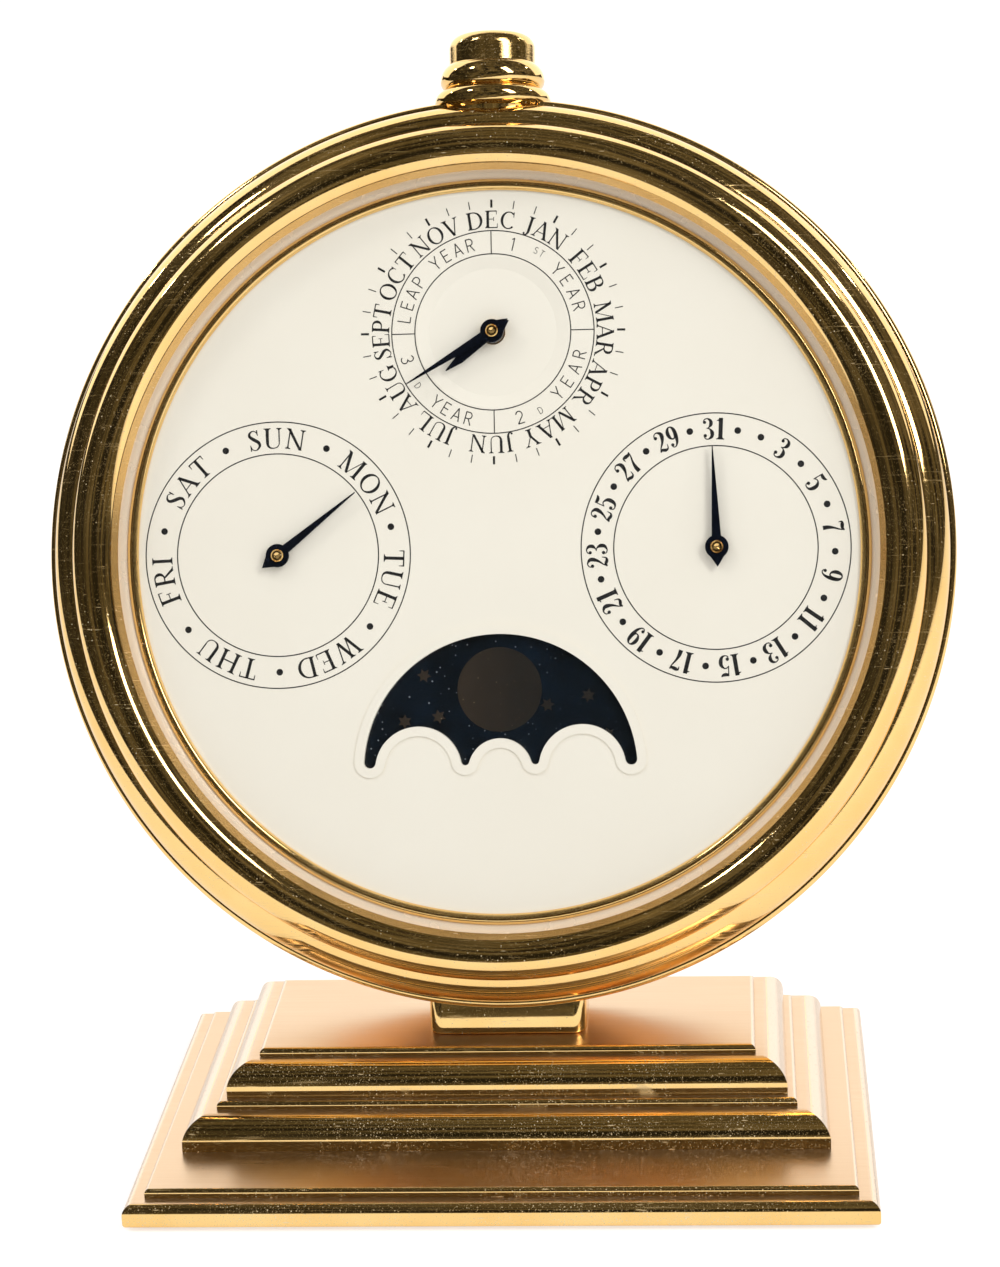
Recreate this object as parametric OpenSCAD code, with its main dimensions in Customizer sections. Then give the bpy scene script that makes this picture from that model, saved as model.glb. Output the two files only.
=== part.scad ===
// Perpetual desk calendar: a stepped brass plinth carries a tilted round case.
// The case holds a dial with hands for the day, the date, the month and the leap
// year, a moon phase window and one pusher on top that steps the movement.
// Millimetres, +Z up. The origin is the centre of the foot, on the table.
// Case parts are drawn about the case axis, which leans back with case_frame().

/* [Plinth] */
// Width over the lip at the foot
plinth_w = 122; // [112:1:140]
// Depth over the lip at the foot
plinth_d = 79; // [77:1:96]
// Straight height of the lip
lip_h = 2.3; // [1.8:0.1:4]
// Round under the lip
lip_foot = 0.9; // [0.4:0.1:1.4]
// Quarter round above the lip
lip_ovolo = 1.6; // [1:0.1:2.4]
// Ledge behind that quarter round
lip_ledge = 1.7; // [1:0.1:2.4]
// Riser behind the ledge
lip_riser = 0.75; // [0.4:0.05:1.5]
// Rounded edge of the bottom slab
lip_round = 0.7; // [0.3:0.05:1.2]
// Flat strip in front of the lower tier
front_strip = 13.1; // [9:0.1:15]
// Flat strip behind the lower tier
back_strip = 3.5; // [2:0.1:6]
// Flat strip at each side of the lower tier
side_strip = 3.3; // [2:0.1:6]
// Flat strip round the upper tier
tier_strip = 0.8; // [0.4:0.1:2]
// Quarter round of both tiers
tier_ovolo = 4; // [3:0.1:4.6]
// Straight foot of the lower tier
low_fillet = 1.15; // [0.6:0.05:2]
// Ledge of the lower tier
low_ledge = 1.3; // [0.8:0.05:2]
// Riser of the lower tier
low_riser = 0.55; // [0.3:0.05:1]
// Rounded edge of the lower tier
low_round = 0.75; // [0.3:0.05:1.2]
// Straight foot of the upper tier
top_fillet = 1.3; // [0.6:0.05:2]
// Ledge of the upper tier
top_ledge = 1.15; // [0.8:0.05:2]
// Riser of the upper tier
top_riser = 0.45; // [0.3:0.05:1]
// Rounded edge of the upper tier
top_round = 0.85; // [0.3:0.05:1.2]

/* [Foot pad] */
// Edge of the lip left bare round the pad
pad_margin = 5; // [3:0.5:12]
// Thickness of the pad
pad_t = 1.6; // [1.2:0.1:2.4]
// How far the pad stands out below the slab
pad_out = 0.6; // [0.3:0.1:0.9]
// Corner radius of the pad
pad_corner = 3; // [1:0.5:8]

/* [Case] */
// Outer diameter of the case
case_d = 153.6; // [152:0.2:160]
// Depth of the drum
case_depth = 15.7; // [15.3:0.1:16.8]
// Lean of the case from upright, in degrees
tilt = 17.24; // [12:0.1:18.4]
// Gap from the plinth to the lowest point of the rim
rim_gap = 4.85; // [4.6:0.05:7]
// How far in front of the plinth's middle the rim comes down
rim_front = 4.75; // [2:0.05:8]
// Wall of the drum
drum_wall = 2.5; // [2.2:0.1:3]
// Round on the front edge of the drum
drum_round = 0.9; // [0.5:0.1:1.1]
// Round on the back edge of the drum
back_round = 0.6; // [0.3:0.1:0.9]
// Thickness of the shelf that carries the movement
shelf_t = 2.2; // [1.8:0.1:2.4]
// Thickness of the ledge behind the rear cover
ledge_t = 2; // [1.6:0.1:2.6]
// Thickness of the rear cover's rim
cover_t = 1.2; // [1:0.1:1.6]
// How far the rear cover's panel stands out
cover_out = 1.8; // [1:0.1:3]

/* [Bezel] */
// Height of the shadow line between drum and bezel
seam = 0.3; // [0.2:0.05:0.5]
// Radius of the outer moulding
outer_roll = 5.3; // [4.9:0.05:5.5]
// Radius of the inner roll round the glass
inner_roll = 4.4; // [4.1:0.05:4.6]
// Step in from the outer moulding's centre to the inner roll's centre
roll_step = 3.4; // [3:0.05:3.8]
// Overlap of the inner roll over the glass
glass_lap = 1.8; // [1:0.1:2]
// Thickness of the glass
glass_t = 1.8; // [1.4:0.1:2.2]

/* [Dial] */
// Thickness of the dial
dial_t = 1; // [0.8:0.1:1.4]
// Room for the train under the dial
dial_gap = 2.8; // [2.7:0.1:3.4]
// Height of the ring between dial and glass
ring_h = 3.1; // [2.9:0.1:3.8]
// Distance of each of the four centres from the middle
sub_r = 36.8; // [36.4:0.1:37.4]
// Depth of the recess for the leap year
recess_h = 0.4; // [0.2:0.05:0.6]
// Outer radius of the recess
recess_r = 12.7; // [11.5:0.1:13]
// Width of the sloping wall of the recess
recess_slope = 2; // [1:0.1:2.5]
// Radius of the moon window's arch
arch_r = 23; // [22.6:0.1:23.4]
// Width of the raised border round the moon window
border_w = 1.6; // [1:0.1:2]
// Height of that border
border_h = 0.25; // [0.15:0.05:0.5]

/* [Hands] */
// Length of the day, date and month hands
hand_l = 16.8; // [14:0.1:18]
// Length of the leap year hand
leap_hand_l = 10.2; // [8:0.1:12]
// Length of a hand's tail
hand_tail = 3.35; // [2.6:0.05:4]
// Radius of a hand's hub
hand_hub = 1.96; // [1.7:0.02:2.4]
// Width of a hand at its hub
hand_w = 1.7; // [1.2:0.1:2.2]
// Thickness of the day and date hands
hand_t = 0.5; // [0.3:0.05:0.6]
// Day hand, degrees clockwise from the top
day_angle = 52; // [0:1:360]
// Date hand, degrees clockwise from the top
date_angle = 358.4; // [0:0.1:360]
// Month hand, degrees clockwise from the top
month_angle = 239.5; // [0:0.5:360]
// Leap year hand, degrees clockwise from the top
leap_angle = 231; // [0:1:360]

/* [Movement] */
// Thickness of the main plate
plate_t = 2; // [1.8:0.1:2.4]
// Thickness of the rear plate
rear_t = 2; // [1.6:0.1:2.4]
// Thickness of the wheels and the slide
wheel_t = 1.2; // [1:0.05:1.3]
// Free height between wheel levels
level_gap = 0.5; // [0.4:0.05:0.6]
// Radius of the pivots and of the arbor ends under the hands
pivot_r = 1.05; // [0.9:0.05:1.2]
// Running clearance of pivots, pipes and slots
running = 0.04; // [0.02:0.01:0.08]
// Tip radius of the day star
day_tip = 11; // [10:0.1:11.2]
// Tip radius of the date wheel
date_tip = 15; // [14:0.1:15.1]
// Tip radius of the month star
month_tip = 10; // [9:0.1:10.1]
// Tip radius of the moon wheel
moon_tip = 16; // [15:0.1:16.6]
// Radius of the leap year cam
cam_r = 11; // [10:0.1:12]
// Drop of the leap year cam from a 31 day to a 30 day month
cam_drop = 0.8; // [0.5:0.05:0.9]
// Smallest radius of the date snail
snail_low = 6; // [5:0.1:7]
// Largest radius of the date snail
snail_high = 10; // [9:0.1:10.4]
// Room between the main plate and the slide
slide_room = 2.4; // [2.2:0.05:2.8]
// Radius of the guide screws and their slots
guide_r = 1.5; // [1.2:0.05:1.7]
// Radius of the heads of guide screws and studs
guide_head = 2.4; // [2.2:0.05:2.8]
// Distance of the slide's top from the drum's inner wall
bar_inset = 11.4; // [10:0.1:13]
// Length of the jumper springs
jumper_l = 12; // [10:0.5:14]
// Radius of the jumper springs' feet
jumper_foot_r = 2.4; // [2.1:0.05:2.6]
// Distance of the pillars from the glass seat's wall
pillar_margin = 8.5; // [7:0.1:9]
// Radius of the pillars
pillar_r = 2.5; // [2:0.1:3]
// Module of the leap year train
gear_module = 0.5; // [0.46:0.01:0.52]
// Width of the operating slide's bar
slide_w = 9; // [8:0.5:11]
// Width of the slide's cross arm
arm_w = 5.3; // [4:0.1:6]
// Width of the slide's finger for the moon wheel
finger_w = 3; // [2:0.1:3.4]

/* [Pusher] */
// Travel of the pusher
travel = 3.2; // [2:0.1:3.3]
// Radius of the button
button_r = 7.35; // [7:0.05:7.6]
// Height of the button above the collar
button_h = 5.3; // [4.6:0.1:7]
// Rounded edge of the button
button_round = 2.9; // [1.5:0.1:3.2]
// Radius of the collar's bead
collar_r = 8.9; // [8.8:0.05:9.4]
// Radius of the pusher's base
base_r = 9.9; // [9.6:0.05:10.4]
// Radius of the push rod
stem_r = 1.5; // [1.3:0.05:1.6]
// Mean radius of the return spring
spring_r = 4.2; // [4:0.05:4.3]
// Radius of the spring wire
wire_r = 0.35; // [0.25:0.05:0.4]
// Turns of the return spring
turns = 5; // [4:1:6]

/* [Neck and screws] */
// Width of the block between plinth and case
neck_w = 26.6; // [22:0.2:32]
// Depth of that block
neck_d = 12.6; // [11:0.1:13]
// Corner radius of that block
neck_corner = 1.6; // [0.5:0.1:3]
// Radius of the case screws
case_screw_r = 1.5; // [1.2:0.1:1.8]
// Distance between the case screws
case_screw_gap = 12; // [10:0.5:16]
// Length of the case screws under the head
case_screw_l = 10.5; // [8:0.5:12]
// Radius of the small screws
screw_r = 1; // [0.8:0.05:1.1]
// Height of the small screws' heads
screw_head = 0.8; // [0.6:0.05:0.9]

/* [Hidden] */
$fn = 96;

// Tooth counts: days, dates, half moons, months
day_n = 7;
date_n = 31;
moon_n = 59;
month_n = 12;

// Plinth heights and plans
thread = 0.02;
sunk = 0.3;
slab_z = pad_out;
slab_h = lip_h + lip_ovolo + lip_riser + lip_round;
slab_top = slab_z + slab_h;
slab_in = lip_ovolo + lip_ledge + lip_round;
low_w = plinth_w - 2 * slab_in - 2 * side_strip;
low_d = plinth_d - 2 * slab_in - front_strip - back_strip;
tier_y = (front_strip - back_strip) / 2;
low_h = low_fillet + tier_ovolo + low_riser + low_round;
low_top = slab_top + low_h;
low_in = tier_ovolo + low_ledge + low_round;
top_w = low_w - 2 * low_in - 2 * tier_strip;
top_d = low_d - 2 * low_in - 2 * tier_strip;
top_h = top_fillet + tier_ovolo + top_riser + top_round;
plinth_top = low_top + top_h;

// Case: radii about the case axis, heights along it towards the viewer
case_r = case_d / 2;
case_y = case_r * sin(tilt) - rim_front;
case_z = plinth_top + rim_gap + case_r * cos(tilt);
drum_front = 1.2;
drum_back = drum_front - case_depth;
drum_in = case_r - drum_wall;
shelf_front = drum_front - plate_t;
shelf_back = shelf_front - shelf_t;
cover_front = drum_back + cover_t;
rebate_r = drum_in + 0.9;
roll_z = drum_front + seam;
roll_x = case_r - drum_round - outer_roll;
seat_r = roll_x - roll_step - 0.7;
lip_r = seat_r - glass_lap;
plate_r = seat_r + 3.8;
shelf_r = seat_r - 0.5;
moon_disc_r = arch_r + 1.5;
spacer_in = sub_r + moon_disc_r + 1.2;
plate_front = drum_front;
plate_back = shelf_front;
dial_back = plate_front + dial_gap;
dial_front = dial_back + dial_t;
dial_r = seat_r - 0.2;
glass_back = dial_front + ring_h;
glass_front = glass_back + glass_t;
inner_z = glass_front - 3;

// Wheel levels behind the main plate
slide_front = plate_back - slide_room;
slide_back = slide_front - wheel_t;
star_front = slide_back - level_gap;
star_back = star_front - wheel_t + 0.1;
rear_front = star_back - screw_head - 0.2;
rear_back = rear_front - rear_t;
shoulder_r = pivot_r + 0.45;
hand_z = dial_front + 1;

// Train under the dial: two 12 and 24 tooth pairs
pinion_pitch = 12 * gear_module / 2;
wheel_pitch = 24 * gear_module / 2;
train_x = pinion_pitch + wheel_pitch;
train_z = plate_front + 0.1;
train_t = 0.6;
upper_z = train_z + train_t + 0.2;
cam_z = upper_z + train_t + 0.2;
cam_t = 0.5;
pipe_r = 1.9;

// Four centres: day, date, month with leap year, moon
day_c = [-sub_r, 0];
date_c = [sub_r, 0];
month_c = [0, sub_r];
moon_c = [0, -sub_r];
lever_c = [sub_r - 10.8, sub_r - 9.8];

// Moon window, from its own centre: outline of tangent arcs
lobe_r = 1;
lobe = [sqrt(pow(arch_r - lobe_r, 2) - 1.8 * 1.8), 1.8];
hump = [13.75, 0.4];
cusp = [5.87, 1.8];
mid_y = 0.15;
window_out = atan(lobe[1] / lobe[0]);
window_dip = atan((lobe[1] - hump[1]) / (lobe[0] - hump[0]));
window_rise = atan((cusp[1] - hump[1]) / (hump[0] - cusp[0]));
window_mid = atan((cusp[1] - mid_y) / cusp[0]);
hump_r = norm(lobe - hump) - lobe_r;
cusp_r = norm(hump - cusp) - hump_r;
mid_r = norm(cusp - [0, mid_y]) - cusp_r;

// Pusher: heights along the radius at the top of the case
pusher_z = slide_front - wheel_t / 2;
floor_y = case_r + 0.4;
neck_y = floor_y + 1.7;
bore_y = neck_y + 0.3;
collar_y = bore_y + travel + 0.8;
button_y = collar_y - 0.6;
button_top = collar_y + button_h;
roof_y = button_top - 2.2;
chamber_r = spring_r + 1;
bar_top = drum_in - bar_inset;
clip_y = drum_in - 2.3;
guide_y = [sub_r - 16.8, bar_top - 8.9];
boss_r = 2.9;

// Return spring: one sweep of a round wire
spring_n = 16;
spring_l = roof_y - floor_y - 2 * wire_r;

function polar(r, a) = [r * cos(a), r * sin(a)];
function left_of(p) = [-p[0], p[1]];
function arc(c, r, from, to, steps) =
    [for (i = [0 : steps - 1]) c + polar(r, from + (to - from) * i / steps)];

module case_frame() {
    translate([0, case_y, case_z]) rotate([90 - tilt, 0, 0]) children();
}

module at(p) {
    translate([p[0], p[1], 0]) children();
}

module disc(r, z0, z1) {
    translate([0, 0, z0]) cylinder(r = r, h = z1 - z0);
}

module tube(r0, r1, z0, z1) {
    difference() {
        disc(r1, z0, z1);
        disc(r0, z0 - 1, z1 + 1);
    }
}

module slab(z0, z1) {
    translate([0, 0, z0]) linear_extrude(z1 - z0) children();
}

module band(r0, r1, z0, z1) {
    translate([r0, z0]) square([r1 - r0, z1 - z0]);
}

// Pieces turned about the pusher's axis, which points up out of the case
module along_pusher() {
    translate([0, 0, pusher_z]) rotate([-90, 0, 0]) children();
}

module around(count, r, first) {
    for (i = [0 : count - 1]) at(polar(r, first + i * 360 / count)) children();
}

// Section of one tier: foot, quarter round, ledge, riser and rounded edge
module tier_section(half, fillet, ovolo, ledge, riser, edge, foot) {
    upper = half - ovolo - ledge;
    shoulder = fillet + ovolo;
    top = shoulder + riser + edge;
    intersection() {
        union() {
            for (s = [-1, 1]) translate([s * (half - ovolo), fillet]) circle(ovolo);
            translate([-half + ovolo, 0]) square([2 * half - 2 * ovolo, shoulder]);
        }
        translate([-half, fillet]) square([2 * half, ovolo]);
    }
    translate([-half, foot]) square([2 * half, fillet - foot]);
    if (foot > 0) {
        for (s = [-1, 1]) translate([s * (half - foot), foot]) circle(foot);
        translate([foot - half, 0]) square([2 * half - 2 * foot, fillet]);
    }
    translate([-upper, fillet / 2]) square([2 * upper, shoulder + riser - fillet / 2]);
    for (s = [-1, 1]) translate([s * (upper - edge), top - edge]) circle(edge);
    translate([edge - upper, fillet / 2]) square([2 * upper - 2 * edge, top - fillet / 2]);
}

// Tier with mitred corners: the same section run across and from front to back
module tier(w, d, fillet, ovolo, ledge, riser, edge, foot) {
    intersection() {
        translate([0, d, 0]) rotate([90, 0, 0]) linear_extrude(2 * d)
            tier_section(w / 2, fillet, ovolo, ledge, riser, edge, foot);
        translate([-w, 0, 0]) rotate([90, 0, 90]) linear_extrude(2 * w)
            tier_section(d / 2, fillet, ovolo, ledge, riser, edge, foot);
    }
}

module rounded(w, d, r) {
    square([w - 2 * r, d], center = true);
    square([w, d - 2 * r], center = true);
    for (x = [-1, 1]) for (y = [-1, 1])
        translate([x * (w / 2 - r), y * (d / 2 - r)]) circle(r);
}

module case_screw_axes() {
    case_frame() for (x = [-1, 1]) translate([x * case_screw_gap / 2, 0, -neck_d / 2 - 0.3])
        rotate([90, 0, 0]) children();
}

spot_y = drum_in + 0.7;

module plinth() {
    color("gold") difference() {
        union() {
            translate([0, 0, slab_z])
                tier(plinth_w, plinth_d, lip_h, lip_ovolo, lip_ledge, lip_riser, lip_round, lip_foot);
            translate([0, tier_y, slab_top - sunk])
                tier(low_w, low_d, low_fillet + sunk, tier_ovolo, low_ledge, low_riser, low_round, 0);
            translate([0, tier_y, low_top - sunk])
                tier(top_w, top_d, top_fillet + sunk, tier_ovolo, top_ledge, top_riser, top_round, 0);
        }
        slab(slab_z - 1, pad_t)
            rounded(plinth_w - 2 * pad_margin + 0.2, plinth_d - 2 * pad_margin + 0.2, pad_corner);
        case_screw_axes() disc(case_screw_r + thread, spot_y, spot_y + case_screw_l + 0.5);
    }
}

module base_pad() {
    color("darkgreen") slab(0, pad_t)
        rounded(plinth_w - 2 * pad_margin, plinth_d - 2 * pad_margin, pad_corner);
}

module neck_block() {
    color("gold") difference() {
        case_frame() translate([0, -case_r + 5, -neck_d / 2 - 0.3]) rotate([90, 0, 0])
            linear_extrude(rim_gap + 14) rounded(neck_w, neck_d, neck_corner);
        case_frame() disc(case_r, drum_back - 5, drum_front + 5, $fn = 360);
        translate([-neck_w, -case_r, plinth_top - 60]) cube([2 * neck_w, 2 * case_r, 60]);
        case_screw_axes() disc(case_screw_r + 0.1, case_r - 5, case_r + rim_gap + 9);
    }
}

module case_screws() {
    color("silver") case_screw_axes() {
        difference() {
            disc(case_screw_r * 1.8, spot_y - 1.8, spot_y);
            disc(case_screw_r * 0.9, spot_y - 2.8, spot_y - 0.8, $fn = 6);
        }
        disc(case_screw_r, spot_y, spot_y + case_screw_l);
    }
}

module case_drum() {
    color("gold") case_frame() difference() {
        rotate_extrude() {
            band(drum_in, case_r, drum_back + back_round, drum_front - drum_round);
            band(drum_in, case_r - drum_round, drum_back + back_round, drum_front);
            band(rebate_r, case_r - back_round, drum_back, drum_back + back_round);
            translate([case_r - drum_round, drum_front - drum_round]) circle(drum_round);
            translate([case_r - back_round, drum_back + back_round]) circle(back_round);
            band(shelf_r, drum_in + 0.5, shelf_back, shelf_front);
            band(rebate_r - 5.2, drum_in + 0.5, cover_front, cover_front + ledge_t);
        }
        tube(drum_in - 20, rebate_r, drum_back - 1, cover_front);
        around(4, bezel_screw_ring, 30) disc(screw_r + 0.06, shelf_back - 1, shelf_front + 1);
        around(4, plate_screw_ring, 45) disc(screw_r + thread, shelf_back - 1, shelf_front + 1);
        around(4, cover_screw_ring, 45) disc(screw_r + thread, cover_front - 1, cover_front + ledge_t + 1);
        along_pusher() disc(boss_r + thread, drum_in - 4, case_r + 1);
        along_pusher() disc(boss_r + 0.8, shelf_r - 6, drum_in);
        translate([-boss_r - 0.8, shelf_r - 6, shelf_back - 1])
            cube([2 * boss_r + 1.6, drum_in - shelf_r + 5.4, shelf_t + 2]);
        case_bores();
    }
}

module case_bores() {
    for (x = [-1, 1]) translate([x * case_screw_gap / 2, 0, -neck_d / 2 - 0.3]) rotate([90, 0, 0]) {
        disc(case_screw_r + 0.1, drum_in - 5, case_r + 1);
        disc(case_screw_r * 1.8 + 0.3, drum_in - 5, spot_y);
    }
}

bezel_screw_ring = drum_in - 2;
plate_screw_ring = plate_r - 2.1;
cover_screw_ring = drum_in - 2.1;

module bezel_section() {
    difference() {
        union() {
            intersection() {
                translate([roll_x, roll_z]) circle(outer_roll);
                band(seat_r - 2, case_r, roll_z, roll_z + outer_roll + 1);
            }
            intersection() {
                translate([roll_x - roll_step, inner_z]) circle(inner_roll);
                band(lip_r, case_r, inner_z, inner_z + inner_roll + 1);
            }
            band(seat_r, roll_x - roll_step + inner_roll, roll_z, inner_z);
            band(seat_r, case_r - 2 * drum_round, drum_front, roll_z);
            band(plate_r + 0.1, drum_in - 0.1, shelf_front, drum_front);
        }
        band(seat_r - 5, seat_r, shelf_front - 1, glass_front);
    }
}

module bezel() {
    color("gold") case_frame() difference() {
        rotate_extrude() bezel_section();
        around(4, bezel_screw_ring, 30) disc(screw_r + thread, shelf_front - 1, shelf_front + 1.7);
    }
}

module bezel_screws() {
    color("silver") case_frame() around(4, bezel_screw_ring, 30) {
        disc(screw_r * 1.8, shelf_back - 1, shelf_back);
        disc(screw_r, shelf_back, shelf_front + 1.5);
    }
}

module crystal() {
    color("lightblue", 0.3) case_frame() disc(seat_r - 0.1, glass_back, glass_front);
}

// Cove between dial and glass with a bead at its foot
module inner_ring() {
    bead_x = seat_r - 5.4;
    color("gold") case_frame() rotate_extrude() {
        difference() {
            band(bead_x, seat_r - 0.1, dial_front, glass_back);
            translate([seat_r - 6.63, dial_front + 5.64]) circle(5.63);
        }
        intersection() {
            translate([bead_x, dial_front + 0.6]) circle(0.65);
            band(bead_x - 1, bead_x + 1, dial_front, glass_back);
        }
    }
}

// Outline of the moon window, grown by an even margin: tangent arcs in one polygon
module moon_window(grow) {
    out = window_out;
    polygon(concat(
        arc([0, 0], arch_r + grow, out, 180 - out, 64),
        arc(left_of(lobe), lobe_r + grow, 180 - out, 360 - window_dip, 20),
        arc(left_of(hump), hump_r - grow, 180 - window_dip, window_rise, 32),
        arc(left_of(cusp), cusp_r + grow, 180 + window_rise, 360 - window_mid, 16),
        arc([0, mid_y], mid_r - grow, 180 - window_mid, window_mid, 28),
        arc(cusp, cusp_r + grow, 180 + window_mid, 360 - window_rise, 16),
        arc(hump, hump_r - grow, 180 - window_rise, window_dip, 32),
        arc(lobe, lobe_r + grow, 180 + window_dip, 360 + out, 20)));
}

feet = [[-22, -6], [22, -6], [-24, 30]];
foot_r = 1;

module dial() {
    color("ivory") case_frame() difference() {
        union() {
            disc(dial_r, dial_back, dial_front);
            at(moon_c) slab(dial_front - dial_t / 2, dial_front + border_h) moon_window(border_w);
        }
        at(moon_c) slab(dial_back - 1, dial_front + 1) moon_window(0);
        at(day_c) disc(pivot_r + 0.2, dial_back - 1, dial_front + 1);
        at(date_c) disc(pivot_r + 0.2, dial_back - 1, dial_front + 1);
        at(month_c) disc(pipe_r + 0.2, dial_back - 1, dial_front + 1);
        at(month_c) translate([0, 0, dial_front - recess_h])
            cylinder(r1 = recess_r - recess_slope, r2 = recess_r, h = recess_h);
        at(month_c) disc(recess_r, dial_front, dial_front + 1);
    }
}

module dial_feet() {
    color("goldenrod") case_frame() for (p = feet) at(p) disc(foot_r, plate_back, dial_back);
}

module spacer_ring() {
    color("goldenrod") case_frame() tube(spacer_in, dial_r, plate_front, dial_back);
}

module main_plate() {
    color("goldenrod") case_frame() difference() {
        disc(plate_r, plate_back, plate_front);
        for (p = [day_c, date_c, month_c, moon_c])
            at(p) disc(pivot_r + running, plate_back - 1, plate_front + 1);
        for (p = feet) at(p) disc(foot_r + thread, plate_back - 1, plate_front + 1);
        around(4, plate_screw_ring, 45) disc(screw_r + 0.06, plate_back - 1, plate_front + 1);
        around(4, plate_screw_ring, 45) disc(screw_r * 1.7 + 0.05, plate_front - 1, plate_front + 1);
        around_pillars() disc(screw_r + 0.2 + thread, plate_back - 1, plate_front + 1);
        for (p = jumper_feet) at(p) disc(screw_r + thread, plate_back - 1, plate_front - 0.5);
        for (y = guide_y) at([0, y]) disc(screw_r + thread, plate_back - 1, plate_front - 0.5);
        at(lever_c) disc(screw_r + thread, plate_back - 1, plate_front - 0.5);
        at(month_c + [train_x, 0]) disc(0.8 + thread, plate_back - 1, plate_front + 1);
    }
}

module plate_screws() {
    color("silver") case_frame() around(4, plate_screw_ring, 45) {
        disc(screw_r * 1.7, plate_front - 1, plate_front);
        disc(screw_r, shelf_back, plate_front - 1);
    }
}

pillar_ring = seat_r - pillar_margin;
rear_r = pillar_ring + pillar_r + 3.5;

module around_pillars() {
    for (a = [30, 150, 210, 330]) at(polar(pillar_ring, a)) children();
}

module rear_plate() {
    color("goldenrod") case_frame() difference() {
        disc(rear_r, rear_back, rear_front);
        for (p = [day_c, date_c, month_c, moon_c])
            at(p) disc(pivot_r + running, rear_back - 1, rear_front + 1);
        around_pillars() disc(screw_r + 0.06, rear_back - 1, rear_front + 1);
    }
}

module plate_pillars() {
    color("gold") case_frame() around_pillars() difference() {
        union() {
            disc(pillar_r, rear_front, plate_back);
            disc(screw_r + 0.2, plate_back - 1, plate_front - 0.2);
        }
        disc(screw_r + thread, rear_front - 1, rear_front + 2.7);
    }
}

module pillar_screws() {
    color("silver") case_frame() around_pillars() {
        disc(screw_r * 1.9, rear_back - screw_head, rear_back);
        disc(screw_r, rear_back, rear_front + 2.5);
    }
}

// Star with pointed teeth, one tooth pointing along +x
module star(n, tip, root) {
    polygon([for (k = [0 : 2 * n - 1]) polar(k % 2 == 0 ? tip : root, k * 180 / n)]);
}

module star_wheel(c, n, tip, root, z0, z1) {
    at(c) difference() {
        slab(z0, z1) star(n, tip, root);
        disc(shoulder_r, z0 - 1, z1 + 1);
    }
}

// Arbor with a shoulder between the plates and a chamfered, centred end
module arbor(c, top) {
    at(c) difference() {
        union() {
            disc(shoulder_r, rear_front + 0.1, plate_back - 0.1);
            disc(pivot_r, rear_back, top - 0.2);
            translate([0, 0, top - 0.2]) cylinder(r1 = pivot_r, r2 = pivot_r - 0.2, h = 0.2);
        }
        translate([0, 0, top - 0.25]) cylinder(r1 = 0.1, r2 = 0.6, h = 0.3);
    }
}

// Hand cut from sheet: tapering blade along +y, hub and short pointed tail
module hand_shape(length, width, shoulder, shoulder_w) {
    half = width / 2;
    circle(hand_hub);
    polygon([[-half, 0], [half, 0], [shoulder_w / 2, shoulder], [0.08, length],
        [-0.08, length], [-shoulder_w / 2, shoulder]]);
    polygon([[-hand_hub * 0.72, -hand_hub * 0.6], [-0.8, -hand_hub - 0.15], [0, -hand_tail],
        [0.8, -hand_hub - 0.15], [hand_hub * 0.72, -hand_hub * 0.6]]);
}

module hand(c, angle, z0, z1, length, bore, shoulder, shoulder_w) {
    at(c) difference() {
        rotate([0, 0, -angle]) slab(z0, z1) hand_shape(length, hand_w, shoulder, shoulder_w);
        disc(bore, z0 - 1, z1 + 1);
    }
}

module day_star() {
    color("gold") case_frame() star_wheel(day_c, day_n, day_tip, day_tip - 3.5, slide_back, slide_front);
}

module day_arbor() {
    color("gold") case_frame() arbor(day_c, hand_z + hand_t + 0.5);
}

module day_hand() {
    color("midnightblue") case_frame()
        hand(day_c, day_angle, hand_z, hand_z + hand_t, hand_l, pivot_r, hand_l / 2, hand_w * 0.56);
}

module date_wheel() {
    color("gold") case_frame()
        star_wheel(date_c, date_n, date_tip, date_tip - 1.6, slide_back, slide_front);
}

// Snail that grows over one turn and drops back after the last day
module date_snail() {
    color("gold") case_frame() at(date_c) difference() {
        slab(star_back, star_front) polygon([for (k = [0 : 60]) polar(snail_low + (snail_high - snail_low) * k / 60, k * 6 + 100)]);
        disc(shoulder_r, star_back - 1, star_front + 1);
    }
}

module date_arbor() {
    color("gold") case_frame() arbor(date_c, hand_z + hand_t + 0.5);
}

module date_hand() {
    color("midnightblue") case_frame()
        hand(date_c, date_angle, hand_z, hand_z + hand_t, hand_l, pivot_r, hand_l / 2, hand_w * 0.56);
}

module month_star() {
    color("gold") case_frame()
        star_wheel(month_c, month_n, month_tip, month_tip - 2.4, star_back, star_front);
}

// Gear with narrow straight-sided teeth, one tooth or one gap along +x
module gear(n, pitch, shift, bore, z0, z1) {
    step = 360 / n;
    tip = pitch + 0.8 * gear_module;
    root = pitch - 1.1 * gear_module;
    wide = asin(0.9 * gear_module / root);
    narrow = asin(0.3 * gear_module / tip);
    difference() {
        slab(z0, z1) polygon([for (k = [0 : n - 1]) each [
            polar(root, (k + shift) * step - wide), polar(tip, (k + shift) * step - narrow),
            polar(tip, (k + shift) * step + narrow), polar(root, (k + shift) * step + wide)]]);
        disc(bore, z0 - 1, z1 + 1);
    }
}

module month_pinion() {
    color("gold") case_frame() at(month_c) gear(12, pinion_pitch, 0, pivot_r, train_z, train_z + train_t);
}

month_hand_z = dial_front + 1.6;

module month_arbor() {
    color("gold") case_frame() arbor(month_c, month_hand_z + 1);
}

module month_hand() {
    color("midnightblue") case_frame()
        hand(month_c, month_angle, month_hand_z, month_hand_z + 0.4, hand_l, pivot_r, hand_l / 2, hand_w * 0.56);
}

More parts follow.
